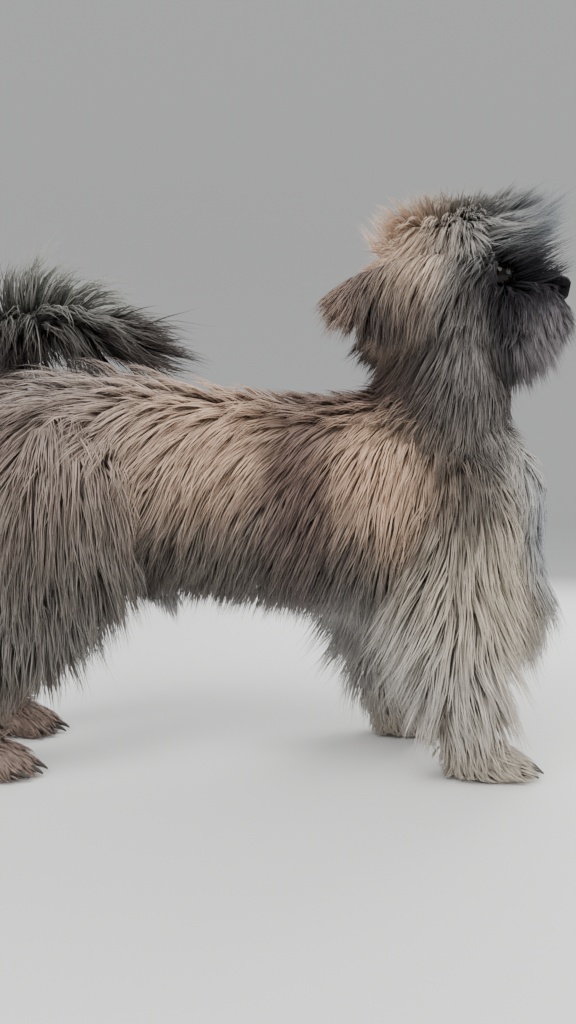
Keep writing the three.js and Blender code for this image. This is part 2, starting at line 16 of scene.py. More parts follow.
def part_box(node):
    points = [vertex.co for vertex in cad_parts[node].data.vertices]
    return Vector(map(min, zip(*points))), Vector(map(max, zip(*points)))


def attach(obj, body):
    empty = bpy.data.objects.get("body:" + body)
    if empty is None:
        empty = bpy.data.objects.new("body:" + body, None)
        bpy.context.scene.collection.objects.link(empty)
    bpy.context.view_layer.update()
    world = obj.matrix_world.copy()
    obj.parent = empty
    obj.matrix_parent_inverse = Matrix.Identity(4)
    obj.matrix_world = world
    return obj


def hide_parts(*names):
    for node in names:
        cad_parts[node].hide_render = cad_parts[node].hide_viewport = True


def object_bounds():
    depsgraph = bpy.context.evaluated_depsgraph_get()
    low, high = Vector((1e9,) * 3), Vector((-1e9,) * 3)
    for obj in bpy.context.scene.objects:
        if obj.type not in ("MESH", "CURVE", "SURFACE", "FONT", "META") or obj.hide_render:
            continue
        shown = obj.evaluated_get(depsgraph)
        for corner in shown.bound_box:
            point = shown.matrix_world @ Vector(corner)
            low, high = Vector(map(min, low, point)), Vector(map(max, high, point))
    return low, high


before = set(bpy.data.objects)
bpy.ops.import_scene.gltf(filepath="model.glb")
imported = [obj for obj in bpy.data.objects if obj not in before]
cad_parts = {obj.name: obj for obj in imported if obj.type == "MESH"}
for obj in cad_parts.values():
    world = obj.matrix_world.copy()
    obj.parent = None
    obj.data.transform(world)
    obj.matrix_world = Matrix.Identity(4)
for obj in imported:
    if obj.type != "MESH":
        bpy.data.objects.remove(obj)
cad_low, cad_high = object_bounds()
print("CAD box", [round(v, 4) for v in (*cad_low, *cad_high)])

# %% [markdown]
# Sizes below are in millimetres, in the frame that the dog was measured in: x runs to the nose
# from the middle of the picture, y to the dog's left, z up from the floor. The right eye is known
# in both frames, so it ties the two together.

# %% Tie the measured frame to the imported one
RIGHT_EYE = Vector((140.89, -34.62, 328.5))
eye_low, eye_high = (Vector(corner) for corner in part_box("eye_right"))
SHIFT = (eye_low + eye_high) / 2 - RIGHT_EYE / 1000
HEAD_AT = Vector((116, 0, 327))
HEAD_TURN = math.radians(-15)
HEAD = Matrix.Translation(HEAD_AT) @ Matrix.Rotation(HEAD_TURN, 4, "Z")


def place(x, y, z):
    """A measured point in millimetres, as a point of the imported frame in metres."""
    return Vector((x, y, z)) / 1000 + SHIFT


print("shift in mm", [round(v * 1000, 2) for v in SHIFT])

# %% [markdown]
# The camera stands where the photographer's did, low and close, level with the dog's chest. A
# short lens that near makes the near legs a little larger than the far ones, so its distance
# matters as much as its angle.

# %% Camera
CAMERA_AT = (0, -568, 171)
FOCAL_PIXELS = 800
PICTURE_HEIGHT = 1024

eye_piece = bpy.data.cameras.new("camera")
eye_piece.sensor_width = 36
eye_piece.lens = FOCAL_PIXELS / PICTURE_HEIGHT * eye_piece.sensor_width
camera = bpy.data.objects.new("camera", eye_piece)
camera.location = place(*CAMERA_AT)
camera.rotation_euler = (math.radians(90), 0, 0)
bpy.context.scene.collection.objects.link(camera)
bpy.context.scene.camera = camera
print("lens", round(eye_piece.lens, 2), "mm")

# %% [markdown]
# Plain soft studio light: a wide lamp high on the camera's side, a weaker one behind the head
# that edges the loose hair, and an even pale surround. Wide lamps give the soft shadows that hair
# needs, where a small one would make it look like wire.

# %% Light and floor
LAMPS = {
    "lamp_key": {"at": (-500, -900, 1250), "size": 1.0, "watts": 26, "aim": (0, 0, 200)},
    "lamp_front": {"at": (900, -700, 700), "size": 0.9, "watts": 9, "aim": (60, 0, 250)},
    "lamp_rim": {"at": (500, 900, 1000), "size": 0.9, "watts": 22, "aim": (0, 0, 260)},
}
for name, lamp in LAMPS.items():
    data = bpy.data.lights.new(name, "AREA")
    data.size, data.energy = lamp["size"], lamp["watts"]
    holder = bpy.data.objects.new(name, data)
    holder.location = place(*lamp["at"])
    ray = place(*lamp["aim"]) - holder.location
    holder.rotation_euler = ray.to_track_quat("-Z", "Y").to_euler()
    bpy.context.scene.collection.objects.link(holder)

surround = bpy.data.worlds.new("studio")
surround.use_nodes = True
surround.node_tree.nodes["Background"].inputs["Color"].default_value = (0.86, 0.88, 0.90, 1)
surround.node_tree.nodes["Background"].inputs["Strength"].default_value = 0.75
bpy.context.scene.world = surround


def nodes_of(material):
    """Turns a material's nodes on and gives its tree and its shader."""
    material.use_nodes = True
    return material.node_tree, material.node_tree.nodes["Principled BSDF"]


def deselect():
    if bpy.context.mode != "OBJECT":
        bpy.ops.object.mode_set(mode="OBJECT")
    bpy.ops.object.select_all(action="DESELECT")


print("lamps", len(LAMPS))

# %% [markdown]
# A photographer's cove has no line between floor and wall. It is a plane whose far edge is
# extruded upwards, with the fold between the two rounded off by a bevel.

# %% Floor and cove
COVE = {"size": 30, "height": 15, "fold": 5}
deselect()
bpy.ops.mesh.primitive_plane_add(size=COVE["size"], location=(0, 0, 0))
floor = bpy.context.object
floor.name = "floor"
bpy.ops.object.mode_set(mode="EDIT")
bpy.ops.mesh.select_all(action="DESELECT")
bpy.ops.object.mode_set(mode="OBJECT")
for edge in floor.data.edges:
    edge.select = all(floor.data.vertices[v].co.y > 0 for v in edge.vertices)
bpy.ops.object.mode_set(mode="EDIT")
bpy.ops.mesh.select_mode(type="EDGE")
bpy.ops.mesh.extrude_region_move(TRANSFORM_OT_translate={"value": (0, 0, COVE["height"])})
bpy.ops.object.mode_set(mode="OBJECT")
for edge in floor.data.edges:
    ends = [floor.data.vertices[v].co for v in edge.vertices]
    edge.select = all(end.y > 0 and end.z < 0.01 for end in ends)
bpy.ops.object.mode_set(mode="EDIT")
bpy.ops.mesh.bevel(offset=COVE["fold"], segments=16, affect="EDGES")
bpy.ops.object.mode_set(mode="OBJECT")
bpy.ops.object.shade_smooth()
pale = bpy.data.materials.new("pale_floor")
tree, shader = nodes_of(pale)
shader.inputs["Base Color"].default_value = (0.74, 0.735, 0.72, 1)
shader.inputs["Roughness"].default_value = 0.85
floor.data.materials.append(pale)
print("cove faces", len(floor.data.polygons))

# %% [markdown]
# ## The skin
# Under the hair a dog is a few rounded forms that run into each other. Each one here is a list of
# stations: where its axis passes, and how far it reaches sideways, towards its upper side and
# towards its lower side. The body's forms are in the measured frame, the head's in a frame of
# its own, turned a little to the right with it.

# %% Stations of the body's forms
TRUNK = [(-204, 224, 186, 16), (-192, 248, 160, 40), (-165, 258, 140, 52), (-120, 259, 130, 55),
         (-70, 253, 127, 54), (-15, 246, 121, 59), (35, 247, 113, 62), (75, 250, 107, 61),
         (112, 243, 106, 56), (142, 222, 110, 47), (158, 200, 118, 35), (169, 172, 138, 14)]
BREAST = [(138, 0, 196, 30, 16, 18), (152, 0, 162, 34, 18, 20), (157, 0, 130, 33, 18, 22),
          (154, 0, 104, 24, 15, 18), (148, 0, 92, 12, 8, 10)]
NECK = [(88, 0, 192, 44, 42, 46), (102, 0, 228, 44, 38, 44), (110, 0, 258, 38, 34, 38),
        (110, 0, 288, 32, 28, 30), (108, 0, 312, 24, 24, 24)]
TAIL = [(-172, 0, 226, 12, 12, 12), (-200, 0, 258, 12, 11, 11), (-205, 0, 288, 11, 10, 10),
        (-184, 0, 306, 10, 9, 9), (-152, 0, 304, 9, 8, 8), (-124, 0, 295, 7, 6, 6),
        (-106, 0, 289, 4, 3, 3)]


def trunk_stations(rows, share=0.55):
    """The trunk is measured as top and bottom lines, and its axis lies between them."""
    stations = []
    for x, top, bottom, half in rows:
        middle = share * top + (1 - share) * bottom
        stations.append((x, 0, middle, half, top - middle, middle - bottom))
    return stations


SHEATH = [(-112, 0, 132, 5, 5, 6), (-98, 0, 122, 8, 8, 8), (-86, 0, 113, 7, 7, 7),
          (-79, 0, 107, 4, 4, 4)]
BODY_FORMS = {"trunk": trunk_stations(TRUNK), "breast": BREAST, "neck": NECK, "tail": TAIL,
              "sheath": SHEATH}
print("body forms", list(BODY_FORMS))

# %% [markdown]
# The four legs share two patterns. A row gives how far the leg's axis lies from its own place,
# its height, and its reach sideways, forwards and back. The near and far legs of a pair stand at
# different places along the body, as the dog was caught in mid-stance.

# %% Stations of the legs and paws
LEG_Y = 50
FRONT_LEG_X = {"right": 116, "left": 80}
HIND_LEG_X = {"right": -203, "left": -216}
SIDES = {"left": 1, "right": -1}
FRONT_LEG = [(2, -6, 196, 16, 20, 20), (0, -2, 160, 24, 28, 32), (-10, 2, 120, 23, 25, 33),
             (-4, 0, 85, 20, 22, 26), (0, 0, 55, 18, 20, 23), (0, 0, 24, 15, 15, 17)]
HIND_LEG = [(52, -10, 226, 16, 20, 20), (54, 0, 186, 26, 44, 38), (62, 4, 146, 27, 36, 46),
            (44, 4, 106, 19, 27, 30), (14, 2, 74, 13, 15, 18), (0, 1, 52, 12, 13, 14),
            (0, 0, 24, 13, 13, 14)]
PAW = [(-20, 0, 12, 8, 8, 11), (-12, 0, 13, 16, 12, 12), (4, 0, 13, 19, 12, 12),
       (18, 0, 10, 18, 10, 9), (25, 0, 8, 10, 5, 7)]
PAW_SHIFT = {"front": 6, "hind": 4}


def leg_stations(rows, x, sign):
    return [(x + dx, sign * (LEG_Y + dy), *rest) for dx, dy, *rest in rows]


for side, sign in SIDES.items():
    for pair, rows, spots in (("front", FRONT_LEG, FRONT_LEG_X), ("hind", HIND_LEG, HIND_LEG_X)):
        BODY_FORMS[f"leg_{pair}_{side}"] = leg_stations(rows, spots[side], sign)
        paw_x = spots[side] + PAW_SHIFT[pair]
        BODY_FORMS[f"paw_{pair}_{side}"] = [(paw_x + dx, sign * LEG_Y, *rest) for dx, _, *rest in PAW]
print("with legs and paws", len(BODY_FORMS))

# %% Stations of the head's forms
HEAD_FORMS = {
    "crown": [(-36, 0, 16, 12, 12, 12), (-16, 0, 24, 27, 19, 20), (8, 0, 27, 31, 20, 20),
              (28, 0, 26, 24, 16, 14), (39, 0, 23, 10, 8, 8)],
    "skull": [(-50, 0, 0, 8, 8, 8), (-40, 0, 0, 28, 27, 30), (-18, 0, 1, 40, 35, 40),
              (6, 0, 0, 43, 36, 38), (24, 0, 0, 37, 31, 40), (35, 0, -4, 28, 21, 29),
              (42, 0, -6, 14, 9, 12)],
    "muzzle": [(12, 0, -12, 28, 13, 22), (36, 0, -12, 25, 12, 21), (56, 0, -12, 23, 11, 16),
               (67, 0, -12, 17, 9, 11), (73, 0, -12, 8, 5, 5)],
    "chin": [(6, 0, -38, 23, 12, 12), (36, 0, -39, 19, 10, 10), (56, 0, -38, 13, 7, 6),
             (65, 0, -37, 6, 4, 3)],
}
EAR = [(6, 38, 7, 6, 9, 9), (-12, 54, 1, 5, 18, 12), (-36, 62, -7, 4.5, 23, 13),
       (-56, 65, -12, 4, 18, 11), (-70, 64, -16, 3.5, 7, 7)]
for side, sign in SIDES.items():
    HEAD_FORMS[f"ear_{side}"] = [(x, sign * y, *rest) for x, y, *rest in EAR]
print("head forms", list(HEAD_FORMS))

# %% [markdown]
# A form is modelled the way a hand would draw it out: one filled circle, and its face extruded
# from station to station. At each stop the new ring is laid flat, scaled to its width and height,
# and turned across the axis. The ring's middle sits half way between its upper and lower edge.

# %% Draw a form out of a circle
RING_SIDES = 20


def ring_frames(stations):
    """For each station the ring's middle, the axis's slope there, and half its width and height."""
    frames = []
    for i, (x, y, z, half, up, down) in enumerate(stations):
        before, after = stations[max(i - 1, 0)], stations[min(i + 1, len(stations) - 1)]
        slope = math.atan2(after[2] - before[2], after[0] - before[0])
        lift = (up - down) / 2
        middle = (x - math.sin(slope) * lift, y, z + math.cos(slope) * lift)
        frames.append((Vector(middle) / 1000, slope, half / 1000, (up + down) / 2000))
    return frames


def in_metres(matrix):
    """A matrix in measured millimetres, as one in packed metres."""
    moved = matrix.copy()
    moved.translation = matrix.translation / 1000
    return Matrix.Translation(SHIFT) @ moved


def draw_out(name, stations, frame_matrix=None, sides=RING_SIDES):
    """Extrudes one circle along the stations and returns the object, with its place in its mesh."""
    frames = ring_frames(stations)
    middle, slope, half, height = frames[0]
    deselect()
    bpy.ops.mesh.primitive_circle_add(
        vertices=sides, radius=1, fill_type="NGON", rotation=(0, math.radians(90), 0)
    )
    form = bpy.context.object
    form.name = name
    bpy.ops.object.transform_apply(location=True, rotation=True, scale=True)
    bpy.ops.object.mode_set(mode="EDIT")
    bpy.ops.mesh.select_all(action="SELECT")
    bpy.ops.transform.resize(value=(1, half, height), center_override=(0, 0, 0))
    bpy.ops.transform.rotate(value=slope, orient_axis="Y", center_override=(0, 0, 0))
    bpy.ops.transform.translate(value=middle)
    for new_middle, new_slope, new_half, new_height in frames[1:]:
        bpy.ops.mesh.extrude_region_move(TRANSFORM_OT_translate={"value": new_middle - middle})
        bpy.ops.transform.rotate(value=-slope, orient_axis="Y", center_override=new_middle)
        scale = (1, new_half / half, new_height / height)
        bpy.ops.transform.resize(value=scale, center_override=new_middle)
        bpy.ops.transform.rotate(value=new_slope, orient_axis="Y", center_override=new_middle)
        middle, slope, half, height = new_middle, new_slope, new_half, new_height
    bpy.ops.mesh.select_all(action="SELECT")
    bpy.ops.mesh.normals_make_consistent(inside=False)
    bpy.ops.object.mode_set(mode="OBJECT")
    form.matrix_world = in_metres(frame_matrix or Matrix())
    bpy.ops.object.transform_apply(location=True, rotation=True, scale=True)
    return form


forms = [draw_out(name, stations) for name, stations in BODY_FORMS.items()]
forms += [draw_out(name, stations, HEAD) for name, stations in HEAD_FORMS.items()]
print("forms drawn", len(forms))

# %% [markdown]
# Toes are small egg shapes in front of each pad. Round the eyes the face swells into an orbit,
# and the upper lip hangs in two soft flews. All of these are ball primitives, squeezed to size,
# and they melt into the skin with the rest.

# %% Toes, orbits and flews
TOES = {"across": (-14, -5, 5, 14), "reach": (22, 28, 28, 22), "size": (9, 5, 8), "z": 8}
EYE = {"x": 33, "y": 27, "z": 1.5, "radius": 9.5}
ORBIT = {"sink": 4.0, "size": (11.5, 12.5, 11)}
FLEW = {"at": (57, 12, -18), "size": (15, 12, 10)}


def ball(name, at, size, frame_matrix=None, segments=16, rings=10):
    """A ball primitive squeezed to its three radii, in millimetres, with its place in its mesh."""
    spot = Vector(at) / 1000
    deselect()
    bpy.ops.mesh.primitive_uv_sphere_add(segments=segments, ring_count=rings, radius=0.001, location=spot)
    lump = bpy.context.object
    lump.name = name
    bpy.ops.object.transform_apply(location=True, rotation=True, scale=True)
    bpy.ops.object.mode_set(mode="EDIT")
    bpy.ops.mesh.select_all(action="SELECT")
    bpy.ops.transform.resize(value=size, center_override=spot)
    bpy.ops.object.mode_set(mode="OBJECT")
    lump.matrix_world = in_metres(frame_matrix or Matrix())
    bpy.ops.object.transform_apply(location=True, rotation=True, scale=True)
    return lump


for side, sign in SIDES.items():
    for pair, spots in (("front", FRONT_LEG_X), ("hind", HIND_LEG_X)):
        paw_x = spots[side] + PAW_SHIFT[pair]
        for across, reach in zip(TOES["across"], TOES["reach"]):
            spot = (paw_x + reach - 4, sign * LEG_Y + across, TOES["z"])
            forms.append(ball("toe", spot, TOES["size"]))
    forms.append(ball("orbit", (EYE["x"] - ORBIT["sink"], sign * (EYE["y"] - 2), EYE["z"]), ORBIT["size"], HEAD))
    x, y, z = FLEW["at"]
    forms.append(ball("flew", (x, sign * y, z), FLEW["size"], HEAD))
print("forms in all", len(forms))

# %% [markdown]
# The forms are joined and wrapped in one skin. A voxel remesh keeps only the outside of all of
# them together, as a sculptor's clay would, and a smoothing pass takes out the steps that the
# voxels leave. One closed skin means that no seam can show at the neck or a leg.

# %% Wrap the forms in one skin
VOXEL = 0.0027


def join(pieces, name):
    """Joins objects into the first of them."""
    deselect()
    for piece in pieces:
        piece.select_set(True)
    bpy.context.view_layer.objects.active = pieces[0]
    bpy.ops.object.join()
    pieces[0].name = name
    return pieces[0]


def apply_modifier(piece, kind, **settings):
    """Adds a modifier with its settings and applies it."""
    bpy.context.view_layer.objects.active = piece
    modifier = piece.modifiers.new(kind.lower(), kind)
    for key, value in settings.items():
        setattr(modifier, key, value)
    bpy.ops.object.modifier_apply(modifier=modifier.name)


skin = join(forms, "skin")
apply_modifier(skin, "REMESH", mode="VOXEL", voxel_size=VOXEL, use_smooth_shade=True)
apply_modifier(skin, "SMOOTH", factor=0.5, iterations=6)
print("skin faces", len(skin.data.polygons))

# %% [markdown]
# The lids are a soft dark rim round each eye, wider than high, that holds the hair back. Each is
# a ring primitive, squeezed to an almond and set on the line of sight, and it joins the skin.

# %% Lids
LID = {"radius": 7.9, "thick": 1.5, "forward": 4.0, "outward": 46, "height": 0.84}
LINE_OF_SIGHT = {
    sign: HEAD @ Matrix.Translation((EYE["x"], sign * EYE["y"], EYE["z"]))
    @ Matrix.Rotation(math.radians(sign * LID["outward"]), 4, "Z")
    for sign in SIDES.values()
}


lids = []
for sign in SIDES.values():
    deselect()
    bpy.ops.mesh.primitive_torus_add(
        major_radius=LID["radius"] / 1000, minor_radius=LID["thick"] / 1000,
        major_segments=36, minor_segments=14, rotation=(0, math.radians(90), 0),
    )
    lid = bpy.context.object
    bpy.ops.object.transform_apply(location=True, rotation=True, scale=True)
    bpy.ops.object.mode_set(mode="EDIT")
    bpy.ops.mesh.select_all(action="SELECT")
    bpy.ops.transform.resize(value=(1, 1, LID["height"]), center_override=(0, 0, 0))
    bpy.ops.transform.translate(value=(LID["forward"] / 1000, 0, 0))
    bpy.ops.object.mode_set(mode="OBJECT")
    lid.matrix_world = in_metres(LINE_OF_SIGHT[sign])
    bpy.ops.object.transform_apply(location=True, rotation=True, scale=True)
    bpy.ops.object.shade_smooth()
    lids.append(lid)
skin = join([skin, *lids], "skin")
print("skin faces with lids", len(skin.data.polygons))

# %% [markdown]
# The mouth is a closed line under the flews. A very flat ball, cut out of the skin, leaves two
# lips with a narrow slit between them, which is how a shut mouth is made: as a parting of the
# form, not as a line painted on it.

# %% Part the lips
MOUTH = {"at": (48, 0, -29), "size": (28, 30, 0.8)}
slit = ball("slit", MOUTH["at"], MOUTH["size"], HEAD, segments=40, rings=12)
apply_modifier(skin, "BOOLEAN", operation="DIFFERENCE", object=slit)
bpy.data.objects.remove(slit)
print("skin faces with lips", len(skin.data.polygons))

# %% [markdown]
# ## Markings, and painted light and shade
# The same soft patches colour the skin and the hair that grows from it, so that a parting in the
# coat never shows another colour. A patch is a place, how far it spreads, a colour and how much
# of it there is; the colours mix where patches meet. Some patches paint light and shade into the
# colour: sunlight over the gold of the flank and shoulder and the cream of the foreleg, rim light
# on the chest, a highlight on the ear's edge, and shade behind the foreleg, under the tail and in
# the groin.

# %% Colours of the coat and of painted light and shade, and where they lie
COLOURS = {
    "brown": (0.118, 0.088, 0.074),
    "gold": (0.680, 0.465, 0.325),
    "tan": (0.560, 0.465, 0.410),
    "ridge": (0.300, 0.215, 0.175),
    "russet": (0.135, 0.090, 0.080),
    "smoke": (0.072, 0.066, 0.060),
    "cream": (0.600, 0.520, 0.410),
    "white": (0.560, 0.550, 0.540),
    # bluish grey of the painted rim light on the chest
    "painted_rim_light": (0.320, 0.345, 0.370),
    "fawn": (0.760, 0.570, 0.430),
    "frost": (0.490, 0.465, 0.425),
    "steel": (0.215, 0.232, 0.248),
    "sage": (0.350, 0.355, 0.320),
    "ash": (0.165, 0.148, 0.130),
    "mist": (0.240, 0.222, 0.208),
    "silver": (0.320, 0.290, 0.305),
    "black": (0.012, 0.009, 0.014),
    "dark": (0.048, 0.040, 0.038),
}
PATCHES = [  # place, spread along x, across and up, colour, strength; y counts from the middle
    # gold coat on the flank, brightened by painted dappled sunlight
    ((-45, 45, 222), (44, 40, 26), "gold", 1.7),
    ((-95, 45, 230), (44, 40, 22), "tan", 1.0),
    # gold coat on the shoulder, brightened by painted dappled sunlight
    ((72, 45, 208), (21, 40, 27), "gold", 4.2),
    ((-92, 0, 258), (74, 30, 12), "tan", 4.5),
    ((-30, 30, 247), (40, 40, 11), "gold", 3.0),
    ((45, 0, 258), (42, 34, 17), "russet", 7.0),
    ((14, 60, 208), (12, 30, 40), "russet", 8.0),
    ((-45, 60, 150), (60, 40, 28), "ash", 1.4),
    ((40, 60, 150), (50, 40, 28), "smoke", 1.2),
    # painted shade: a narrow dark vertical streak at the back of the upper foreleg
    ((95, 60, 170), (6, 40, 18), "smoke", 1.6),
    ((106, 60, 232), (17, 50, 32), "smoke", 4.5),
    ((90, 60, 238), (13, 50, 15), "smoke", 3.0),
    ((112, 60, 190), (12, 40, 24), "smoke", 2.6),
    ((-190, 60, 205), (40, 40, 34), "ridge", 0.9),
    ((-190, 60, 130), (60, 60, 50), "ash", 2.2),
    ((152, 25, 230), (18, 40, 34), "frost", 1.2),
    # cream hair of the upper foreleg, brightened by painted sunlight
    ((122, 60, 140), (19, 40, 24), "cream", 5.0),
    # painted rim light: a pale bluish edge over the pale hair at the front of the chest
    ((172, 30, 160), (11, 40, 46), "painted_rim_light", 2.6),
    ((148, 60, 118), (15, 50, 46), "cream", 1.0),
    ((125, 60, 90), (40, 50, 40), "cream", 1.6),
    ((80, 60, 70), (50, 60, 40), "white", 1.8),
    ((-30, 0, 106), (110, 60, 12), "white", 1.3),
    ((110, 50, 20), (60, 60, 30), "cream", 1.4),
    ((-200, 50, 15), (60, 60, 30), "ridge", 1.2),
    ((84, 16, 356), (16, 24, 22), "fawn", 11.0),
    ((56, 0, 345), (14, 60, 16), "ridge", 1.2),
    ((118, 18, 364), (15, 34, 20), "frost", 5.0),
    ((162, 15, 362), (24, 60, 22), "steel", 8.0),
    ((150, 40, 350), (20, 30, 9), "steel", 9.0),
    ((122, 50, 305), (13, 40, 36), "mist", 6.0),
    ((156, 34, 324), (22, 34, 10), "black", 24.0),
    ((146, 40, 328), (10, 24, 10), "black", 10.0),
    ((148, 34, 300), (6, 30, 19), "black", 13.0),
    ((167, 18, 300), (12, 34, 13), "silver", 15.0),
    ((152, 10, 270), (28, 40, 13), "dark", 9.0),
    ((72, 66, 308), (36, 22, 34), "dark", 2.5),
    # painted highlight: a paler patch on the ear's lower edge where the light catches it
    ((38, 60, 316), (7, 30, 12), "ridge", 6.0),
    # painted shade: dark under the tail's plume where it lies over the back
    ((-150, 0, 282), (70, 40, 14), "dark", 10.0),
    ((-170, 0, 332), (70, 60, 14), "sage", 8.0),
    # painted shade: dark in the groin, at the root of the sheath
    ((-104, 0, 123), (11, 30, 10), "dark", 5.0),
    ((-82, 0, 108), (9, 20, 8), "white", 14.0),
]


def markings_and_painted_light(points):
    """The coat's colour at each measured point, with its painted light and shade, as an array of red, green and
    blue.
    """
    spots = np.array(points, float)
    spots[:, 1] = np.abs(spots[:, 1])
    total = np.full(len(spots), 0.35)
    mixed = np.outer(total, COLOURS["brown"])
    for centre, spread, colour, strength in PATCHES:
        away = (spots - centre) / spread
        share = strength * np.exp(-0.5 * (away ** 2).sum(axis=1) * 1.2)
        total += share
        mixed += np.outer(share, COLOURS[colour])
    return mixed / total[:, None]


print("patches", len(PATCHES))

# %% [markdown]
# Each point of the skin is told which form it lies on, how far along that form, and at what angle
# round it. Those two numbers are also an unwrap of the form, like paper rolled off a tube, and
# later they place every tuft on its own spot of a map.

# %% Which form a point lies on
FORMS = {name: (stations, False) for name, stations in BODY_FORMS.items()}
FORMS.update({name: (stations, True) for name, stations in HEAD_FORMS.items()})
FORM_NAMES = list(FORMS)
TO_HEAD = np.array(HEAD.inverted())


def head_local(points):
    """Measured points in the head's own frame."""
    return points @ TO_HEAD[:3, :3].T + TO_HEAD[:3, 3]


def around(stations, points):
    """How near each point is to a form, 1 being its surface, its share along it, and its angle."""
    rows = np.array(stations, float)
    nearest = np.full(len(points), np.inf)
    along = np.zeros(len(points))
    angle = np.zeros(len(points))
    for index, (start, end) in enumerate(zip(rows[:-1], rows[1:])):
        way = end[:3] - start[:3]
        length = np.linalg.norm(way)
        share = np.clip((points - start[:3]) @ way / length ** 2, 0, 1)
        here = start + share[:, None] * (end - start)
        off = points - here[:, :3]
        upward = np.array([-way[2], 0, way[0]]) / math.hypot(way[0], way[2])
        rise = off @ upward
        height = np.where(rise > 0, here[:, 4], here[:, 5])
        past = off @ way / length
        ratio = np.sqrt((off[:, 1] / here[:, 3]) ** 2 + (rise / height) ** 2
                        + (past / np.minimum(here[:, 3], height)) ** 2)
        closer = ratio < nearest
        nearest = np.where(closer, ratio, nearest)
        along = np.where(closer, (index + share) / (len(rows) - 1), along)
        angle = np.where(closer, np.arctan2(rise, off[:, 1]), angle)
    return nearest, along, angle


def which_form(points):
    """The index of each point's form, with its share along that form and its angle round it."""
    local = head_local(points)
    results = [around(stations, local if in_head else points) for stations, in_head in FORMS.values()]
    ratio, along, angle = (np.array(column) for column in zip(*results))
    chosen = ratio.argmin(axis=0)
    pick = (chosen, np.arange(len(points)))
    return chosen, along[pick], angle[pick]


mesh = skin.data
skin_points = np.empty(len(mesh.vertices) * 3)
mesh.vertices.foreach_get("co", skin_points)
skin_points = skin_points.reshape(-1, 3)
skin_measured = (skin_points - np.array(SHIFT)) * 1000
colour = markings_and_painted_light(skin_measured)
layer = mesh.attributes.new("coat_colour", "FLOAT_COLOR", "POINT")
layer.data.foreach_set("color", np.column_stack([colour, np.ones(len(colour))]).ravel())
print("skin points coloured", len(colour))

# %% [markdown]
# ## The lie of the coat
# Hair isn't random: it is combed by how it grows and by its weight. Each stroke below says that
# near this place the hair runs this way, is this long, and stands this deep over the skin. Both
# sides of the dog share the strokes. A stroke with a large depth gives loose hair, as on the
# topknot, and a small one gives hair that lies flat.

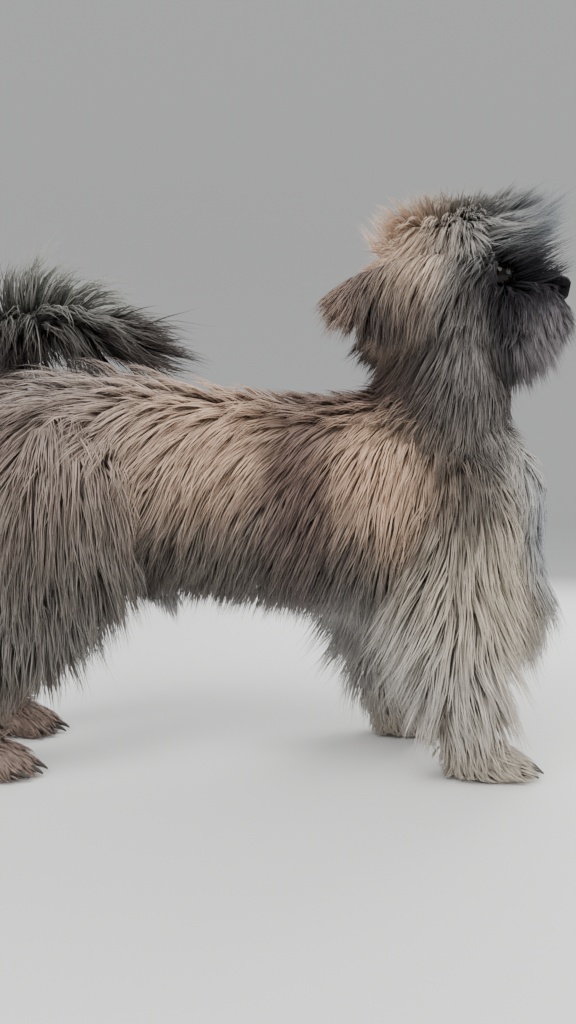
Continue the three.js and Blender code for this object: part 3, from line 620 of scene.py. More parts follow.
# %% Comb strokes: place, direction, length and depth
BODY_STROKES = {
    "trunk": [
        ((66, 0, 252), (-1, 0.35, -0.2), 40, 20), ((0, 0, 250), (-1, 0.35, -0.1), 44, 24),
        ((-60, 0, 256), (-1, 0.35, -0.1), 44, 31), ((-115, 0, 258), (-1, 0.30, 0), 46, 46),
        ((-165, 0, 254), (-1, 0.30, 0.1), 46, 54), ((-200, 0, 215), (-0.4, 0.2, -1), 50, 20),
        ((100, 52, 200), (-0.30, 0.1, -1), 50, 22), ((30, 60, 200), (-0.55, 0.1, -1), 46, 22),
        ((-50, 54, 205), (-0.55, 0.1, -1), 46, 22), ((-130, 54, 200), (-0.15, 0.1, -1), 54, 21),
        ((70, 50, 140), (-0.3, 0.1, -1), 46, 24), ((0, 50, 135), (-0.40, 0.1, -1), 38, 22),
        ((-80, 45, 140), (-0.35, 0.1, -1), 36, 20), ((0, 10, 115), (-0.4, 0.1, -1), 24, 17),
        ((-100, 10, 128), (-0.3, 0.1, -1), 18, 12), ((150, 30, 180), (0.0, 0.15, -1), 50, 18),
        ((148, 22, 214), (-0.15, 0.15, -1), 36, 6),
    ],
    "breast": [
        ((156, 0, 206), (-0.1, 0.2, -1), 38, 5), ((168, 0, 170), (0.20, 0.2, -1), 52, 20),
        ((170, 0, 140), (0.25, 0.2, -1), 52, 26), ((160, 0, 100), (0.30, 0.1, -1), 46, 28),
    ],
    "sheath": [((-92, 0, 114), (0.2, 0.2, -1), 15, 6), ((-78, 0, 104), (0.5, 0.1, -1), 24, 6)],
    "neck": [
        ((70, 0, 285), (-1.0, 0.35, -0.7), 46, 24), ((60, 20, 250), (-1.0, 0.3, -0.6), 50, 24),
        ((105, 40, 265), (-0.25, 0.2, -1), 54, 22), ((100, 46, 220), (-0.35, 0.1, -1), 60, 24),
        ((146, 0, 275), (0.35, 0.3, -1), 44, 22), ((150, 10, 230), (-0.05, 0.2, -1), 44, 12),
    ],
    "tail": [
        ((-180, 0, 240), (-0.4, 0.6, 0.1), 30, 14), ((-212, 0, 270), (-0.9, 0.4, 0.1), 36, 20),
        ((-212, 0, 300), (-0.4, 0.5, 1.0), 52, 30), ((-210, 0, 330), (0.5, 0.4, 0.8), 56, 40),
        ((-184, 0, 318), (0.35, 0.5, 0.9), 62, 34), ((-184, 0, 344), (1.0, 0.3, 0.25), 62, 44),
        ((-150, 0, 312), (0.75, 0.5, 0.75), 66, 34), ((-150, 0, 338), (1.0, 0.3, 0.0), 66, 40),
        ((-122, 0, 300), (1, 0.4, 0.35), 66, 28), ((-116, 0, 322), (1, 0.2, -0.30), 66, 30),
        ((-90, 0, 305), (1, 0.2, -0.35), 62, 24), ((-104, 0, 290), (1, 0.25, -0.1), 60, 20),
        ((-122, 6, 288), (0.8, 0.5, -0.9), 54, 30), ((-150, 8, 294), (0.5, 0.8, -1.0), 54, 34),
        ((-184, 8, 290), (0.2, 0.9, -0.9), 52, 34),
    ],
    "front_leg": [
        ((0, 0, 180), (-0.10, 0.12, -1), 54, 22), ((16, 0, 115), (0.45, 0.3, -1), 60, 30),
        ((-40, 0, 120), (-0.65, 0.3, -1), 66, 34), ((16, 0, 70), (0.85, 0.5, -1), 52, 36),
        ((-22, 0, 80), (-1.10, 0.5, -1), 60, 42), ((0, 0, 28), (0.10, 0.45, -1), 26, 24),
    ],
    "hind_leg": [
        ((60, 0, 200), (0.12, 0.10, -1), 60, 20), ((90, 0, 150), (0.25, 0.10, -1), 58, 24),
        ((30, 0, 150), (-0.10, 0.12, -1), 56, 20), ((44, 0, 100), (0.10, 0.15, -1), 43, 22),
        ((66, 0, 110), (0.30, 0.15, -1), 38, 22), ((14, 0, 60), (-0.10, 0.25, -1), 42, 20),
        ((0, 0, 25), (0.0, 0.3, -1), 24, 18),
    ],
    "paw": [((0, 0, 16), (0.5, 0.3, -0.8), 18, 8), ((20, 0, 12), (0.7, 0.1, -0.6), 15, 5),
            ((-18, 0, 12), (-0.3, 0.2, -1), 16, 8)],
}
HEAD_STROKES = {
    "crown": [
        ((-36, 0, 26), (-0.7, 0.35, 0.9), 40, 30), ((-16, 0, 44), (-0.45, 0.35, 1), 44, 34),
        ((8, 0, 49), (0.25, 0.35, 1), 42, 32), ((28, 0, 43), (0.9, 0.25, 0.9), 58, 38),
        ((39, 6, 26), (1.0, 0.15, 0.50), 74, 42), ((28, 22, 28), (0.9, 0.6, 0.25), 50, 32),
        ((6, 14, 47), (0.1, 0.95, 0.40), 50, 20), ((-16, 14, 43), (-0.35, 0.95, 0.40), 48, 20),
        ((2, 24, 38), (0.0, 1.0, -0.45), 50, 20), ((2, 29, 30), (-0.05, 0.7, -1.0), 52, 18),
        ((-22, 25, 28), (-0.30, 0.7, -0.9), 40, 18), ((4, 46, 38), (0.0, 0.4, -1.0), 48, 20),
        ((-18, 42, 34), (-0.2, 0.4, -1.0), 42, 20),
    ],
    "skull": [
        ((-34, 0, 28), (-0.8, 0.35, 0.7), 38, 28), ((-14, 0, 38), (-0.35, 0.35, 1), 42, 32),
        ((8, 0, 38), (0.35, 0.35, 1), 42, 32), ((24, 0, 34), (0.9, 0.25, 0.9), 54, 36),
        ((36, 8, 16), (1.0, 0.15, 0.18), 76, 40), ((38, 22, 13), (1.0, 0.25, 0.28), 66, 34),
        ((26, 34, 20), (0.8, 0.7, 0.15), 38, 20), ((0, 42, 24), (-0.15, 0.6, -1.0), 48, 18),
        ((-8, 42, 8), (-0.3, 0.6, -1.0), 46, 18), ((-36, 28, 18), (-0.6, 0.6, -0.6), 34, 20),
        ((-46, 0, 4), (-0.8, 0.3, -0.7), 32, 18), ((-30, 36, -14), (-0.5, 0.4, -0.9), 44, 20),
        ((0, 42, -16), (-0.20, 0.4, -1), 44, 20), ((20, 36, -22), (-0.10, 0.5, -1), 42, 18),
        ((36, 28, -14), (-0.20, 0.6, -0.8), 22, 9), ((20, 40, 4), (-0.8, 0.6, -0.6), 26, 10),
        ((43, 8, 3), (0.90, 0.35, 0.65), 32, 17), ((0, 20, -40), (0, 0.3, -1), 34, 14),
    ],
    "muzzle": [
        ((62, 12, 0), (-0.05, 1, 0.10), 13, 5), ((46, 12, 4), (0.4, 0.6, 0.6), 20, 8),
        ((60, 20, -12), (-0.10, 0.6, -0.9), 34, 13), ((44, 26, -14), (-0.25, 0.5, -0.9), 38, 13),
        ((72, 6, -20), (0.60, 0.35, -0.9), 36, 14), ((68, 14, -18), (0.35, 0.6, -0.9), 36, 14),
        ((30, 26, -26), (-0.25, 0.4, -0.9), 38, 13),
    ],
    "chin": [
        ((60, 4, -40), (0.35, 0.2, -1), 30, 11), ((40, 14, -46), (0.15, 0.25, -1), 36, 12),
        ((14, 16, -50), (-0.1, 0.2, -1), 38, 14),
    ],
    "ear": [
        ((0, 46, 8), (-0.35, 0.6, -0.8), 42, 12), ((-16, 58, 12), (-0.35, 0.5, -1.0), 52, 11),
        ((-16, 58, -10), (-0.10, 0.2, -1), 50, 10), ((-40, 66, 0), (-0.50, 0.35, -1.0), 44, 10),
        ((-30, 62, 10), (-0.5, 0.6, 0.3), 26, 12), ((-40, 66, -22), (-0.05, 0.15, -1), 36, 10),
        ((-66, 66, -12), (-0.80, 0.1, -0.6), 24, 8),
    ],
}
print("strokes", sum(map(len, BODY_STROKES.values())) + sum(map(len, HEAD_STROKES.values())))

# %% [markdown]
# The coat is grown in two passes. First come guides: single paths that leave the skin, follow the
# strokes, bend down with their weight and keep at their depth over the skin. Then many fine tufts
# take the path of their nearest guide and draw together towards its tip, which is how soft hair
# falls into locks. Following guides costs far less time than steering every tuft.

# %% How the coat of each part is made
COATS = {  # tufts and width in mm; how far a lock's tufts draw together; wave in mm; stretches
    "trunk": {"tufts": 18500, "width": 1.35, "clump": 0.38, "wave": 1.8, "steps": 4},
    "breast": {"tufts": 2400, "width": 1.3, "clump": 0.50, "wave": 2.4, "steps": 4},
    "sheath": {"tufts": 400, "width": 0.9, "clump": 0.6, "wave": 1.0, "steps": 3},
    "neck": {"tufts": 5600, "width": 1.3, "clump": 0.45, "wave": 2.2, "steps": 4},
    "tail": {"tufts": 3800, "width": 1.3, "clump": 0.40, "wave": 4.6, "steps": 5},
    "front_leg": {"tufts": 3000, "width": 1.35, "clump": 0.50, "wave": 2.2, "steps": 4},
    "hind_leg": {"tufts": 3100, "width": 1.45, "clump": 0.60, "wave": 2.8, "steps": 4},
    "paw": {"tufts": 900, "width": 1.2, "clump": 0.35, "wave": 0.6, "steps": 3},
    "crown": {"tufts": 6200, "width": 1.0, "clump": 0.35, "wave": 1.8, "steps": 4},
    "skull": {"tufts": 5800, "width": 1.0, "clump": 0.45, "wave": 2.4, "steps": 4},
    "muzzle": {"tufts": 4000, "width": 0.9, "clump": 0.45, "wave": 1.2, "steps": 4},
    "chin": {"tufts": 1400, "width": 1.0, "clump": 0.5, "wave": 1.2, "steps": 4},
    "ear": {"tufts": 2600, "width": 1.1, "clump": 0.50, "wave": 2.0, "steps": 4},
}
TUFTS_PER_GUIDE = 10
HANGING = {"front_leg", "hind_leg", "breast", "ear", "tail", "sheath", "crown", "skull", "muzzle", "chin"}
REACH = {"trunk": 38, "breast": 26, "neck": 30, "tail": 10, "front_leg": 24, "hind_leg": 28, "sheath": 15,
         "paw": 12, "crown": 13, "skull": 13, "muzzle": 11, "chin": 13, "ear": 18}


def kind_of(form_name):
    """The entry of a form in the tables of strokes and coats."""
    for word in ("front_leg", "hind_leg"):
        if form_name.startswith(f"leg_{word.split('_')[0]}"):
            return word
    return form_name.split("_")[0]


print("tufts planned", sum(c["tufts"] * sum(kind_of(n) == k for n in FORM_NAMES) for k, c in COATS.items()))

# %% [markdown]
# Roots are scattered over the skin's triangles by their area, with a seeded generator, so that
# each run grows the same coat. A remesh numbers its faces anew in each run, so they are first put
# in order by where they lie. No hair grows on the eyes, the nose or the lips.

# %% Scatter roots on the skin
SEED = 7
rng = np.random.default_rng(SEED)
noise.seed_set(SEED)
SLANT = (1, 0.62, 0.41)  # a direction along which the corners of a face don't tie
mesh.calc_loop_triangles()
corners = np.empty(len(mesh.loop_triangles) * 3, int)
mesh.loop_triangles.foreach_get("vertices", corners)
corners = corners.reshape(-1, 3)
corners = corners[np.lexsort(skin_measured[corners].mean(axis=1).round(3).T)]
first = (skin_measured @ SLANT)[corners].argmin(axis=1)
corners = corners[np.arange(len(corners))[:, None], (first[:, None] + np.arange(3)) % 3]
triangles = skin_measured[corners]
crosses = np.cross(triangles[:, 1] - triangles[:, 0], triangles[:, 2] - triangles[:, 0])
areas = np.linalg.norm(crosses, axis=1) / 2
normals = crosses / np.maximum(np.linalg.norm(crosses, axis=1), 1e-12)[:, None]
tri_form, tri_along, tri_angle = which_form(triangles.mean(axis=1))
BARE = [((EYE["x"] + 8, EYE["y"] + 4, EYE["z"]), 7.5), ((77, 0, -2), 12.5)]


def is_bare(points):
    """True where no hair grows: over the eyes, on the nose and between the lips."""
    local = head_local(points)
    local[:, 1] = np.abs(local[:, 1])
    bare = (np.abs(local[:, 2] - MOUTH["at"][2]) < 1) & (local[:, 0] > MOUTH["at"][0] - MOUTH["size"][0])
    for centre, radius in BARE:
        bare |= np.linalg.norm(local - centre, axis=1) < radius
    return bare


def scatter(form_index, count):
    """Random roots on one form: their places, normals, share along and angle round the form."""
    own = np.flatnonzero(tri_form == form_index)
    weight = areas[own] / areas[own].sum()
    chosen = own[rng.choice(len(own), count, p=weight)]
    a, b = rng.random((2, count))
    flip = a + b > 1
    a, b = np.where(flip, 1 - a, a), np.where(flip, 1 - b, b)
    t = triangles[chosen]
    roots = t[:, 0] + a[:, None] * (t[:, 1] - t[:, 0]) + b[:, None] * (t[:, 2] - t[:, 0])
    keep = ~is_bare(roots) & (roots[:, 2] > 3)
    return roots[keep], normals[chosen][keep], tri_along[chosen][keep], tri_angle[chosen][keep]


print("skin area", round(areas.sum() / 1e6, 3), "square metres")

# %% [markdown]
# A guide's direction at a point is the blend of the strokes near it. A smooth noise turns
# neighbouring guides the same way by a little, so the coat breaks into waves and locks rather
# than standing like a brush.

# %% Grow the guides
search = BVHTree.FromPolygons(skin_measured.tolist(), corners.tolist())
FLOOR_GAP = 1.5
FREE = 90  # as good as no limit to how far a hair may stand from the skin
EYE_LANE = {"outward": 76, "long": 46, "radius": 7.5}
room = np.array([cad_low, cad_high]) - np.array(SHIFT)
LOW, HIGH = room[0] * 1000 - 1.5, room[1] * 1000 + 1.5
LOW[2] = FLOOR_GAP


def clear_of_eyes(paths):
    """True for tufts that leave a short lane open before each eye."""
    clear = np.ones(len(paths), bool)
    for sign in SIDES.values():
        aim = math.radians(EYE_LANE["outward"])
        for reach in range(8, EYE_LANE["long"], 4):
            x, y = EYE["x"] + reach * math.cos(aim), EYE["y"] + reach * math.sin(aim)
            spot = np.array(HEAD @ Vector((x, sign * y, EYE["z"])))
            clear &= np.linalg.norm(paths - spot, axis=2).min(axis=1) > EYE_LANE["radius"]
    return clear


def unit(vectors):
    return vectors / np.maximum(np.linalg.norm(vectors, axis=-1, keepdims=True), 1e-9)


def combed(kind, form_name, points):
    """Direction, length and depth of the coat at measured points of one form."""
    in_head = kind in HEAD_STROKES
    strokes = (HEAD_STROKES if in_head else BODY_STROKES)[kind]
    local = head_local(points) if in_head else points.copy()
    if kind in ("front_leg", "hind_leg", "paw"):
        side = form_name.rsplit("_", 1)[1]
        spots = FRONT_LEG_X if "front" in form_name else HIND_LEG_X
        local = local - (spots[side], SIDES[side] * LEG_Y, 0)
    sign = np.where(local[:, 1] < 0, -1, 1)
    mirrored = local.copy()
    mirrored[:, 1] *= sign
    weights, heading, length, depth = 0, 0, 0, 0
    for at, way, long, deep in strokes:
        share = np.exp(-((mirrored - at) ** 2).sum(axis=1) / (2 * REACH[kind] ** 2)) + 1e-9
        weights = weights + share
        heading = heading + share[:, None] * (np.array(way) / np.linalg.norm(way))
        length = length + share * long
        depth = depth + share * deep
    heading = unit(heading / weights[:, None])
    heading[:, 1] *= sign
    if in_head:
        heading = heading @ np.array(HEAD)[:3, :3].T
    return heading, length / weights, depth / weights


def swirl(points, scale, seed):
    """Smooth noise vectors at the points."""
    shift = Vector((seed * 17.3, seed * 5.1, seed * 9.7))
    return np.array([noise.noise_vector(Vector(p) / scale + shift) for p in points])


def surface(points):
    """The nearest point of the skin and its normal for each point."""
    found = [search.find_nearest(Vector(p)) for p in points]
    return np.array([f[0] for f in found]), np.array([f[1] for f in found])


def grow_guides(kind, form_name, roots, root_normals):
    """The guides' paths, as an array of guides by points by coordinates."""
    steps = COATS[kind]["steps"]
    heading, length, depth = combed(kind, form_name, roots)
    length = length * rng.uniform(0.72, 1.12, len(roots))
    depth = depth * rng.uniform(0.12, 1.0, len(roots)) ** 0.7
    heading = unit(heading + 0.32 * swirl(roots, 24, 1) + 0.10 * rng.normal(size=heading.shape))
    loose = np.clip((heading * root_normals).sum(axis=1), 0, 1)
    path = [roots]
    here, way = roots, unit(heading + 0.55 * root_normals)
    for step in range(1, steps + 1):
        share = step / steps
        pull, _, _ = combed(kind, form_name, here)
        way = unit(0.45 * way + 0.55 * pull + 0.22 * swirl(here, 24, 1) - (0, 0, 0.10 * (1 - loose.mean())))
        here = here + way * (length / steps)[:, None]
        near, normal = surface(here)
        height = ((here - near) * normal).sum(axis=1)
        wanted = depth * min(1, 1.7 * share)
        lowest = 0.55 * wanted * (1 - loose) + 0.5
        held = (normal[:, 2] > (0.4 if kind in HANGING else -0.25)) & (loose < 0.35)
        highest = np.where(held, wanted * 1.15 + 1, FREE)
        target = np.clip(height, lowest, highest)
        inside = height < 0
        target = np.where(inside, lowest, target)
        here = here + normal * (target - height)[:, None]
        here[:, 2] = np.maximum(here[:, 2], FLOOR_GAP)
        path.append(here)
    return np.stack(path, axis=1)


# %% [markdown]
# A tuft is a thin three-sided blade: flat, widest at a third of its length, and drawn to a point.
# It is closed at the root, so it is a solid that any renderer or printer can take. All the tufts
# of a part go into one mesh, built from arrays, because thousands of separate operators would
# take minutes where this takes seconds.

# %% Shape tufts along the guides
PROFILE = {"at": (0, 0.25, 0.5, 0.75, 1), "width": (0.62, 1.0, 0.95, 0.66, 0.20)}
BLADE_DEPTH = 0.5  # thickness as a share of the width
STRAY = {"share": 0.07, "more": 3.0}  # few hairs stray, and those by this much more


def keep_in_box(paths, roots):
    """Flattens each tuft that would leave the model's box, by its due or somewhat more."""
    reach = paths - roots[:, None]
    room = np.where(reach > 0, HIGH, LOW) - roots[:, None]
    moved = np.abs(reach) > 0.01
    share = np.where(moved, room / np.where(moved, reach, 1), 9).min(axis=1)
    scale = np.clip(share * rng.uniform(0.6, 1.0, (len(roots), 1)), 0.1, 1)
    return roots[:, None] + reach * scale[:, None]


def tuft_paths(kind, guides, guide_roots, roots):
    """Each tuft's own path, drawn from its nearest guide's."""
    coat = COATS[kind]
    steps = coat["steps"]
    tree = kdtree.KDTree(len(guide_roots))
    for index, spot in enumerate(guide_roots):
        tree.insert(spot, index)
    tree.balance()
    nearest = np.array([tree.find(Vector(root))[1] for root in roots])
    share = np.linspace(0, 1, steps + 1)[None, :, None]
    offset = (roots - guide_roots[nearest])[:, None, :]
    spread = 1 - coat["clump"] * share ** 1.3
    paths = guides[nearest] + offset * spread
    wild = np.where(rng.random((len(roots), 1, 1)) < STRAY["share"], STRAY["more"], 1.0)
    paths = paths + rng.normal(size=(len(roots), 1, 3)) * share ** 1.5 * coat["wave"] * 0.8 * wild
    phase = rng.uniform(0, 2.2, (len(roots), 1, 1)) + nearest[:, None, None] * 1.7
    side = unit(rng.normal(size=(len(roots), 1, 3)))
    paths = paths + np.sin(share * 6.5 + phase) * share * coat["wave"] * side
    cut = share * rng.uniform(0.62, 1.0, (len(roots), 1, 1)) * steps
    low = np.clip(np.floor(cut).astype(int), 0, steps - 1)
    rest = cut - low
    index = np.arange(len(roots))[:, None]
    paths = paths[index, low[..., 0]] * (1 - rest) + paths[index, low[..., 0] + 1] * rest
    return keep_in_box(paths, roots), nearest


def blades(paths, root_normals, width):
    """The points of the three-sided blades along the paths."""
    tangent = unit(np.gradient(paths, axis=1))
    up = root_normals[:, None, :] + np.zeros_like(paths)
    across = unit(np.cross(tangent, up) + 1e-6)
    out = np.cross(across, tangent)
    profile = np.interp(np.linspace(0, 1, paths.shape[1] - 1), PROFILE["at"], PROFILE["width"])
    rings = profile[None, :, None] * width[:, None, None] / 2
    body = paths[:, :-1]
    left = body - across[:, :-1] * rings
    right = body + across[:, :-1] * rings
    ridge = body + out[:, :-1] * rings * 2 * BLADE_DEPTH
    points = np.stack([left, right, ridge], axis=2).reshape(len(paths), -1, 3)
    return np.concatenate([points, paths[:, -1:]], axis=1)


def blade_faces(steps):
    """Corner numbers of one blade: its sides as quads, then the root's cap and the tip."""
    quads = []
    for ring in range(steps - 1):
        for side in range(3):
            a, b = ring * 3 + side, ring * 3 + (side + 1) % 3
            quads.append((a, b, b + 3, a + 3))
    last = (steps - 1) * 3
    tips = [(last + side, last + (side + 1) % 3, last + 3) for side in range(3)]
    return np.array(quads), np.array([(0, 2, 1)] + tips)


def triangles_in(steps):
    quads, tris = blade_faces(steps)
    return len(quads) * 2 + len(tris)


MOST_TRIANGLES = 190000
print("triangles in a long tuft", triangles_in(5), "and in a short one", triangles_in(3))

# %% [markdown]
# The finish of the coat: every tuft carries its root's colour, how far along it a point lies, and
# a number of its own. The shader darkens the root, where light hardly reaches, lightens the tip,
# which the sun has bleached, and draws fine streaks along the tuft, so that one blade reads as a
# dozen hairs. The gloss is low and broad, as on clean soft hair.

# %% Material of the coat


def link(tree, out_node, out_name, in_node, in_name):
    tree.links.new(out_node.outputs[out_name], in_node.inputs[in_name])


def coat_material(name, root_dark, tip_light, roughness, gloss):
    """A procedural finish that reads the tufts' own attributes."""
    material = bpy.data.materials.new(name)
    tree, shader = nodes_of(material)
    new = tree.nodes.new
    colour = new("ShaderNodeAttribute")
    colour.attribute_name = "coat_colour"
    fibre = new("ShaderNodeAttribute")
    fibre.attribute_name = "fibre"
    streak = new("ShaderNodeTexNoise")
    streak.inputs["Scale"].default_value = 1.0
    streak.inputs["Detail"].default_value = 2.0
    stretch = new("ShaderNodeVectorMath")
    stretch.operation = "MULTIPLY"
    stretch.inputs[1].default_value = (6.0, 1.6, 60.0)
    link(tree, fibre, "Vector", stretch, 0)
    link(tree, stretch, "Vector", streak, "Vector")
    split = new("ShaderNodeSeparateXYZ")
    link(tree, fibre, "Vector", split, "Vector")
    fade = new("ShaderNodeMapRange")
    fade.inputs["From Min"].default_value = 0.0
    fade.inputs["From Max"].default_value = 1.0
    fade.inputs["To Min"].default_value = root_dark
    fade.inputs["To Max"].default_value = tip_light
    link(tree, split, "Y", fade, "Value")
    lines = new("ShaderNodeMapRange")
    lines.inputs["From Min"].default_value = 0.3
    lines.inputs["From Max"].default_value = 0.7
    lines.inputs["To Min"].default_value = 0.82
    lines.inputs["To Max"].default_value = 1.18
    link(tree, streak, "Fac", lines, "Value")
    both = new("ShaderNodeMath")
    both.operation = "MULTIPLY"
    link(tree, fade, "Result", both, 0)
    link(tree, lines, "Result", both, 1)
    shade = new("ShaderNodeVectorMath")
    shade.operation = "SCALE"
    link(tree, colour, "Color", shade, 0)
    link(tree, both, "Value", shade, "Scale")
    link(tree, shade, "Vector", shader, "Base Color")
    bump = new("ShaderNodeBump")
    bump.inputs["Strength"].default_value = 0.35
    bump.inputs["Distance"].default_value = 0.0004
    link(tree, streak, "Fac", bump, "Height")
    link(tree, bump, "Normal", shader, "Normal")
    shader.inputs["Roughness"].default_value = roughness
    shader.inputs["Specular IOR Level"].default_value = gloss
    return material


COAT_FINISH = {
    "soft": coat_material("coat_soft", 0.80, 1.15, 0.65, 0.25),
    "ear": coat_material("coat_ear", 0.60, 1.50, 0.55, 0.25),
    "face": coat_material("coat_face", 0.75, 1.10, 0.70, 0.10),
    "tail": coat_material("coat_tail", 0.50, 1.50, 0.60, 0.25),
}
FINISH_OF = {"ear": "ear", "muzzle": "face", "chin": "face", "tail": "tail"}
print("coat finishes", list(COAT_FINISH))

# %% [markdown]
# One piece of coat is one mesh. Its points, faces and attributes are set from arrays, which is the
# quick way for many equal shapes. On its map each tuft is a small patch where its root lies on the
# unwrapped form, so a picture baked to that map shows the coat as if it were combed flat.

# %% Build one coat piece from arrays
PATCH_SIZE = 0.003  # on the map, about one tuft


def coat_piece(name, kind, points, colour, fibre_id, patch):
    """One mesh of many tufts, with its attributes, its map and its finish."""
    steps = COATS[kind]["steps"]
    count, each = points.shape[:2]
    quads, tris = blade_faces(steps)
    base = np.arange(count)[:, None, None] * each
    quads = (quads[None] + base).reshape(-1, 4)
    tris = (tris[None] + base).reshape(-1, 3)
    made = bpy.data.meshes.new(name)
    made.vertices.add(count * each)
    packed = points.reshape(-1, 3) / 1000 + np.array(SHIFT)
    made.vertices.foreach_set("co", packed.ravel())
    loops = np.concatenate([quads.ravel(), tris.ravel()])
    made.loops.add(len(loops))
    made.loops.foreach_set("vertex_index", loops)
    starts = np.concatenate([np.arange(len(quads)) * 4, len(quads) * 4 + np.arange(len(tris)) * 3])
    made.polygons.add(len(starts))
    made.polygons.foreach_set("loop_start", starts)
    made.update(calc_edges=True)
    made.polygons.foreach_set("use_smooth", np.ones(len(starts), bool))
    ring = np.append(np.repeat(np.arange(steps), 3), steps) / steps
    across = np.append(np.tile([0.0, 1.0, 0.5], steps), 0.5)
    tint = made.attributes.new("coat_colour", "FLOAT_COLOR", "POINT")
    rgba = np.ones((count, each, 4))
    rgba[..., :3] = colour[:, None, :]
    tint.data.foreach_set("color", rgba.ravel())
    strand = made.attributes.new("fibre", "FLOAT_VECTOR", "POINT")
    triple = np.stack([np.tile(across, (count, 1)), np.tile(ring, (count, 1)),
                       np.tile(fibre_id[:, None], (1, each))], axis=-1)
    strand.data.foreach_set("vector", triple.ravel())
    flat = np.stack([patch[:, None, 0] + (across - 0.5) * PATCH_SIZE,
                     patch[:, None, 1] + (ring - 0.5) * PATCH_SIZE], axis=-1)
    unwrap = made.uv_layers.new(name="OFBake")
    unwrap.data.foreach_set("uv", flat.reshape(-1, 2)[loops].ravel())
    piece = bpy.data.objects.new(name, made)
    bpy.context.scene.collection.objects.link(piece)
    made.materials.append(COAT_FINISH[FINISH_OF.get(kind, "soft")])
    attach(piece, "root")
    return piece


print("patch of a tuft on the map", PATCH_SIZE)

# %% [markdown]
# Now the coat is grown part by part. A part with many tufts is split along its length, so that no
# mesh grows too heavy to handle.

# %% Grow the whole coat
coat_pieces = []
tuft_count = triangle_count = 0
density = 1.0
for index, form_name in enumerate(FORM_NAMES):
    kind = kind_of(form_name)
    coat = COATS[kind]
    guide_roots, guide_normals, _, _ = scatter(index, coat["tufts"] // TUFTS_PER_GUIDE)
    guides = grow_guides(kind, form_name, guide_roots, guide_normals)
    roots, root_normals, along, angle = scatter(index, int(coat["tufts"] * density))
    paths, lock = tuft_paths(kind, guides, guide_roots, roots)
    clear = clear_of_eyes(paths)
    roots, root_normals, along, angle = roots[clear], root_normals[clear], along[clear], angle[clear]
    paths, lock = paths[clear], lock[clear]
    width = coat["width"] * rng.uniform(0.6, 1.3, len(roots)) / math.sqrt(density)
    points = blades(paths, root_normals, width)
    tone = rng.uniform(0.92, 1.08, len(guide_roots))[lock] * rng.uniform(0.86, 1.14, len(roots))
    colour = markings_and_painted_light(roots) * tone[:, None]
    patch = np.column_stack([0.02 + 0.96 * (angle + math.pi) / (2 * math.pi), 0.02 + 0.96 * along])
    order = np.argsort(along)
    heavy = len(order) * triangles_in(coat["steps"])
    for number, part in enumerate(np.array_split(order, math.ceil(heavy / MOST_TRIANGLES))):
        name = f"coat_{form_name}_{number + 1}"
        fibre_id = rng.random(len(part))
        coat_pieces.append(coat_piece(name, kind, points[part], colour[part], fibre_id, patch[part]))
    tuft_count += len(order)
    triangle_count += heavy
print("coat pieces", len(coat_pieces), "tufts", tuft_count, "triangles", triangle_count)

# %% [markdown]
# The skin itself shows only in partings, round the eyes and on the toes. It is matt, a little
# mottled, and takes the coat's markings with their painted light and shade, darkened further as
# painted shade, since it lies in the hair's shade.

# %% Finish of the skin
hide = bpy.data.materials.new("skin")
tree, shader = nodes_of(hide)
tint = tree.nodes.new("ShaderNodeAttribute")
tint.attribute_name = "coat_colour"
where = tree.nodes.new("ShaderNodeTexCoord")
mottle = tree.nodes.new("ShaderNodeTexNoise")
mottle.inputs["Scale"].default_value = 320
mottle.inputs["Detail"].default_value = 4
link(tree, where, "Object", mottle, "Vector")
level = tree.nodes.new("ShaderNodeMapRange")
level.inputs["To Min"].default_value = 0.45
level.inputs["To Max"].default_value = 0.85
link(tree, mottle, "Fac", level, "Value")
shade = tree.nodes.new("ShaderNodeVectorMath")
shade.operation = "SCALE"
link(tree, tint, "Color", shade, 0)
link(tree, level, "Result", shade, "Scale")
link(tree, shade, "Vector", shader, "Base Color")
bump = tree.nodes.new("ShaderNodeBump")
bump.inputs["Strength"].default_value = 0.4
bump.inputs["Distance"].default_value = 0.0006
link(tree, mottle, "Fac", bump, "Height")
link(tree, bump, "Normal", shader, "Normal")
shader.inputs["Roughness"].default_value = 0.75
shader.inputs["Specular IOR Level"].default_value = 0.12
skin.data.materials.clear()
skin.data.materials.append(hide)
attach(skin, "root")
FLESH = ["head", "neck", "torso", "tail"]
FLESH += [f"ear_{side}" for side in SIDES]
FLESH += [f"{part}_{pair}_{side}" for part in ("leg", "paw") for pair in ("front", "hind") for side in SIDES]
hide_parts(*FLESH)
print("the skin stands for", len(FLESH), "nodes")

# %% [markdown]
# The eyes are large, round and dark brown, almost black, under a clear cornea that catches the
# lamps. The front of the ball is drawn a little forward for the cornea. The finish measures how
# far a point is turned from the line of sight: a black pupil, a brown iris with fine spokes, a
# dark rim, and behind it the brown of the white's edge.

# %% Finish of an eye
IRIS = {  # cosine of the turn from the line of sight, and the colour from there inwards
    0.00: (0.006, 0.004, 0.003), 0.66: (0.002, 0.001, 0.001), 0.74: (0.0055, 0.0030, 0.0018),
    0.86: (0.0035, 0.0020, 0.0012), 0.90: (0.001, 0.001, 0.001),
}


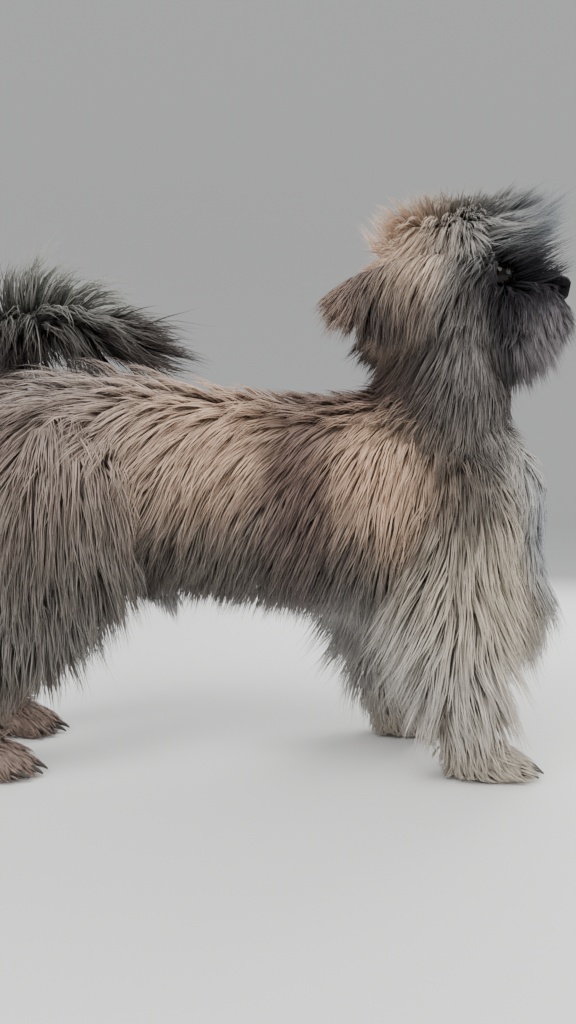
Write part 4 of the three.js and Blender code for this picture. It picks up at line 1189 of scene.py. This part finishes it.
def eye_finish(side, centre, sight):
    """A wet dark eye whose iris faces along `sight`."""
    material = bpy.data.materials.new(f"eye_{side}")
    tree, shader = nodes_of(material)
    where = tree.nodes.new("ShaderNodeTexCoord")
    turned = [tree.nodes.new("ShaderNodeVectorMath") for _ in range(3)]
    for node, operation in zip(turned, ("SUBTRACT", "NORMALIZE", "DOT_PRODUCT")):
        node.operation = operation
    turned[0].inputs[1].default_value = centre
    turned[2].inputs[1].default_value = sight
    link(tree, where, "Object", turned[0], 0)
    link(tree, turned[0], "Vector", turned[1], 0)
    link(tree, turned[1], "Vector", turned[2], 0)
    spokes = tree.nodes.new("ShaderNodeTexNoise")
    spokes.inputs["Scale"].default_value = 9
    link(tree, turned[1], "Vector", spokes, "Vector")
    sway = tree.nodes.new("ShaderNodeMapRange")
    sway.inputs["To Min"].default_value = -0.02
    sway.inputs["To Max"].default_value = 0.02
    link(tree, spokes, "Fac", sway, "Value")
    ragged = tree.nodes.new("ShaderNodeMath")
    link(tree, turned[2], "Value", ragged, 0)
    link(tree, sway, "Result", ragged, 1)
    ramp = tree.nodes.new("ShaderNodeValToRGB")
    link(tree, ragged, "Value", ramp, "Fac")
    stops = ramp.color_ramp.elements
    stops.remove(stops[1])
    for number, (at, colour) in enumerate(IRIS.items()):
        stop = stops[0] if number == 0 else stops.new(at)
        stop.position, stop.color = at, (*colour, 1)
    link(tree, ramp, "Color", shader, "Base Color")
    shader.inputs["Roughness"].default_value = 0.10
    shader.inputs["Specular IOR Level"].default_value = 0.16
    return material


print("rings in the iris", len(IRIS))

# %% Eyes
CORNEA = {"cap": 0.0012, "rise": 0.0007, "falloff": 0.006}
for side, sign in SIDES.items():
    at = (EYE["x"], sign * EYE["y"], EYE["z"])
    radius = EYE["radius"]
    globe = ball(f"eyeball_{side}", at, (radius, radius, radius), HEAD, segments=48, rings=32)
    centre = in_metres(HEAD) @ (Vector(at) / 1000)
    sight = (LINE_OF_SIGHT[sign].to_3x3() @ Vector((1, 0, 0))).normalized()
    bpy.ops.object.mode_set(mode="EDIT")
    bpy.ops.mesh.select_all(action="DESELECT")
    bpy.ops.mesh.select_mode(type="VERT")
    bpy.ops.object.mode_set(mode="OBJECT")
    for vertex in globe.data.vertices:
        vertex.select = (vertex.co - centre).dot(sight) > radius / 1000 - CORNEA["cap"] / 2
    bpy.ops.object.mode_set(mode="EDIT")
    bpy.ops.transform.translate(
        value=sight * CORNEA["rise"], use_proportional_edit=True,
        proportional_edit_falloff="SMOOTH", proportional_size=CORNEA["falloff"],
    )
    bpy.ops.object.mode_set(mode="OBJECT")
    bpy.ops.object.shade_smooth()
    globe.data.materials.clear()
    globe.data.materials.append(eye_finish(side, centre, sight))
    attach(globe, "root")
    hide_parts(f"eye_{side}")
    print("eye", side, "looks along", [round(v, 2) for v in sight])

# %% [markdown]
# The nose is a block of black leather: a broad top, a groove down the front and two comma-shaped
# nostrils that open outwards. It is drawn out like the other forms, and the nostrils are cut.

# %% Nose
NOSE = [(60, 0, -3, 7, 6, 6), (64, 0, -2.5, 10.5, 8, 8.5), (69, 0, -2, 11.8, 9, 9.5),
        (74, 0, -2.2, 11.2, 8.6, 9.3), (77.5, 0, -2.8, 9, 7, 7.8), (79.5, 0, -3.2, 5.5, 4.5, 5.2)]
NOSTRILS = {  # middle, and reach to the front, sideways and up
    "opening": ((79, 5.0, -3.0), (5.0, 2.3, 2.0)),
    "side_slit": ((75.5, 10.6, -4.5), (4.2, 2.6, 0.9)),
}
GROOVE = ((81, 0, -7), (2.4, 0.6, 6.5))
nose = draw_out("nose_leather", NOSE, HEAD, sides=24)
apply_modifier(nose, "REMESH", mode="VOXEL", voxel_size=0.0006, use_smooth_shade=True)
cuts = [GROOVE]
for (x, y, z), size in NOSTRILS.values():
    cuts += [((x, sign * y, z), size) for sign in SIDES.values()]
for at, size in cuts:
    cutter = ball("nostril", at, size, HEAD)
    apply_modifier(nose, "BOOLEAN", operation="DIFFERENCE", object=cutter)
    bpy.data.objects.remove(cutter)
apply_modifier(nose, "REMESH", mode="VOXEL", voxel_size=0.0004, use_smooth_shade=True)
apply_modifier(nose, "SMOOTH", factor=0.5, iterations=3)
leather = bpy.data.materials.new("nose")
tree, shader = nodes_of(leather)
shader.inputs["Base Color"].default_value = (0.004, 0.003, 0.004, 1)
shader.inputs["Roughness"].default_value = 0.6
shader.inputs["Specular IOR Level"].default_value = 0.06
grain = tree.nodes.new("ShaderNodeTexVoronoi")
grain.inputs["Scale"].default_value = 900
where = tree.nodes.new("ShaderNodeTexCoord")
link(tree, where, "Object", grain, "Vector")
bump = tree.nodes.new("ShaderNodeBump")
bump.inputs["Strength"].default_value = 0.5
bump.inputs["Distance"].default_value = 0.0004
link(tree, grain, "Distance", bump, "Height")
link(tree, bump, "Normal", shader, "Normal")
nose.data.materials.clear()
nose.data.materials.append(leather)
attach(nose, "root")
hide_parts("nose")
print("nose faces", len(nose.data.polygons))

# %% [markdown]
# Each toe ends in a dark claw that bends down to the floor and has no hair. One claw is drawn out
# of a small circle, then copied to all sixteen toes, each copy with its own mesh, since the toes
# differ only in where they are.

# %% Claws
CLAW = [(-4, 0, 1.2, 2.0, 2.2, 2.2), (0, 0, 1.4, 2.1, 2.3, 2.4), (4, 0, 0.9, 1.7, 1.9, 1.9),
        (8, 0, -0.6, 1.1, 1.2, 1.3), (11, 0, -2.8, 0.4, 0.5, 0.5)]
CLAW_AT = {"ahead": 3, "z": 6}
horn = bpy.data.materials.new("claw")
tree, shader = nodes_of(horn)
where = tree.nodes.new("ShaderNodeTexCoord")
grain = tree.nodes.new("ShaderNodeTexNoise")
grain.inputs["Scale"].default_value = 1400
link(tree, where, "Object", grain, "Vector")
ramp = tree.nodes.new("ShaderNodeValToRGB")
ramp.color_ramp.elements[0].color = (0.012, 0.010, 0.009, 1)
ramp.color_ramp.elements[1].color = (0.060, 0.048, 0.040, 1)
link(tree, grain, "Fac", ramp, "Fac")
link(tree, ramp, "Color", shader, "Base Color")
shader.inputs["Roughness"].default_value = 0.35
pattern = draw_out("claw", CLAW, sides=12)
bpy.ops.object.shade_smooth()
pattern.data.materials.append(horn)
claws = 0
for side, sign in SIDES.items():
    for pair, spots in (("front", FRONT_LEG_X), ("hind", HIND_LEG_X)):
        toe_x = spots[side] + PAW_SHIFT[pair] + CLAW_AT["ahead"]
        for number, (across, reach) in enumerate(zip(TOES["across"], TOES["reach"])):
            claw = pattern.copy()
            claw.data = pattern.data.copy()
            claw.name = f"claw_{pair}_{side}_{number + 1}"
            bpy.context.scene.collection.objects.link(claw)
            spot = Vector((toe_x + reach, sign * LEG_Y + across, CLAW_AT["z"])) / 1000
            claw.data.transform(Matrix.Translation(spot))
            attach(claw, "root")
            claws += 1
bpy.data.objects.remove(pattern)
print("claws", claws)
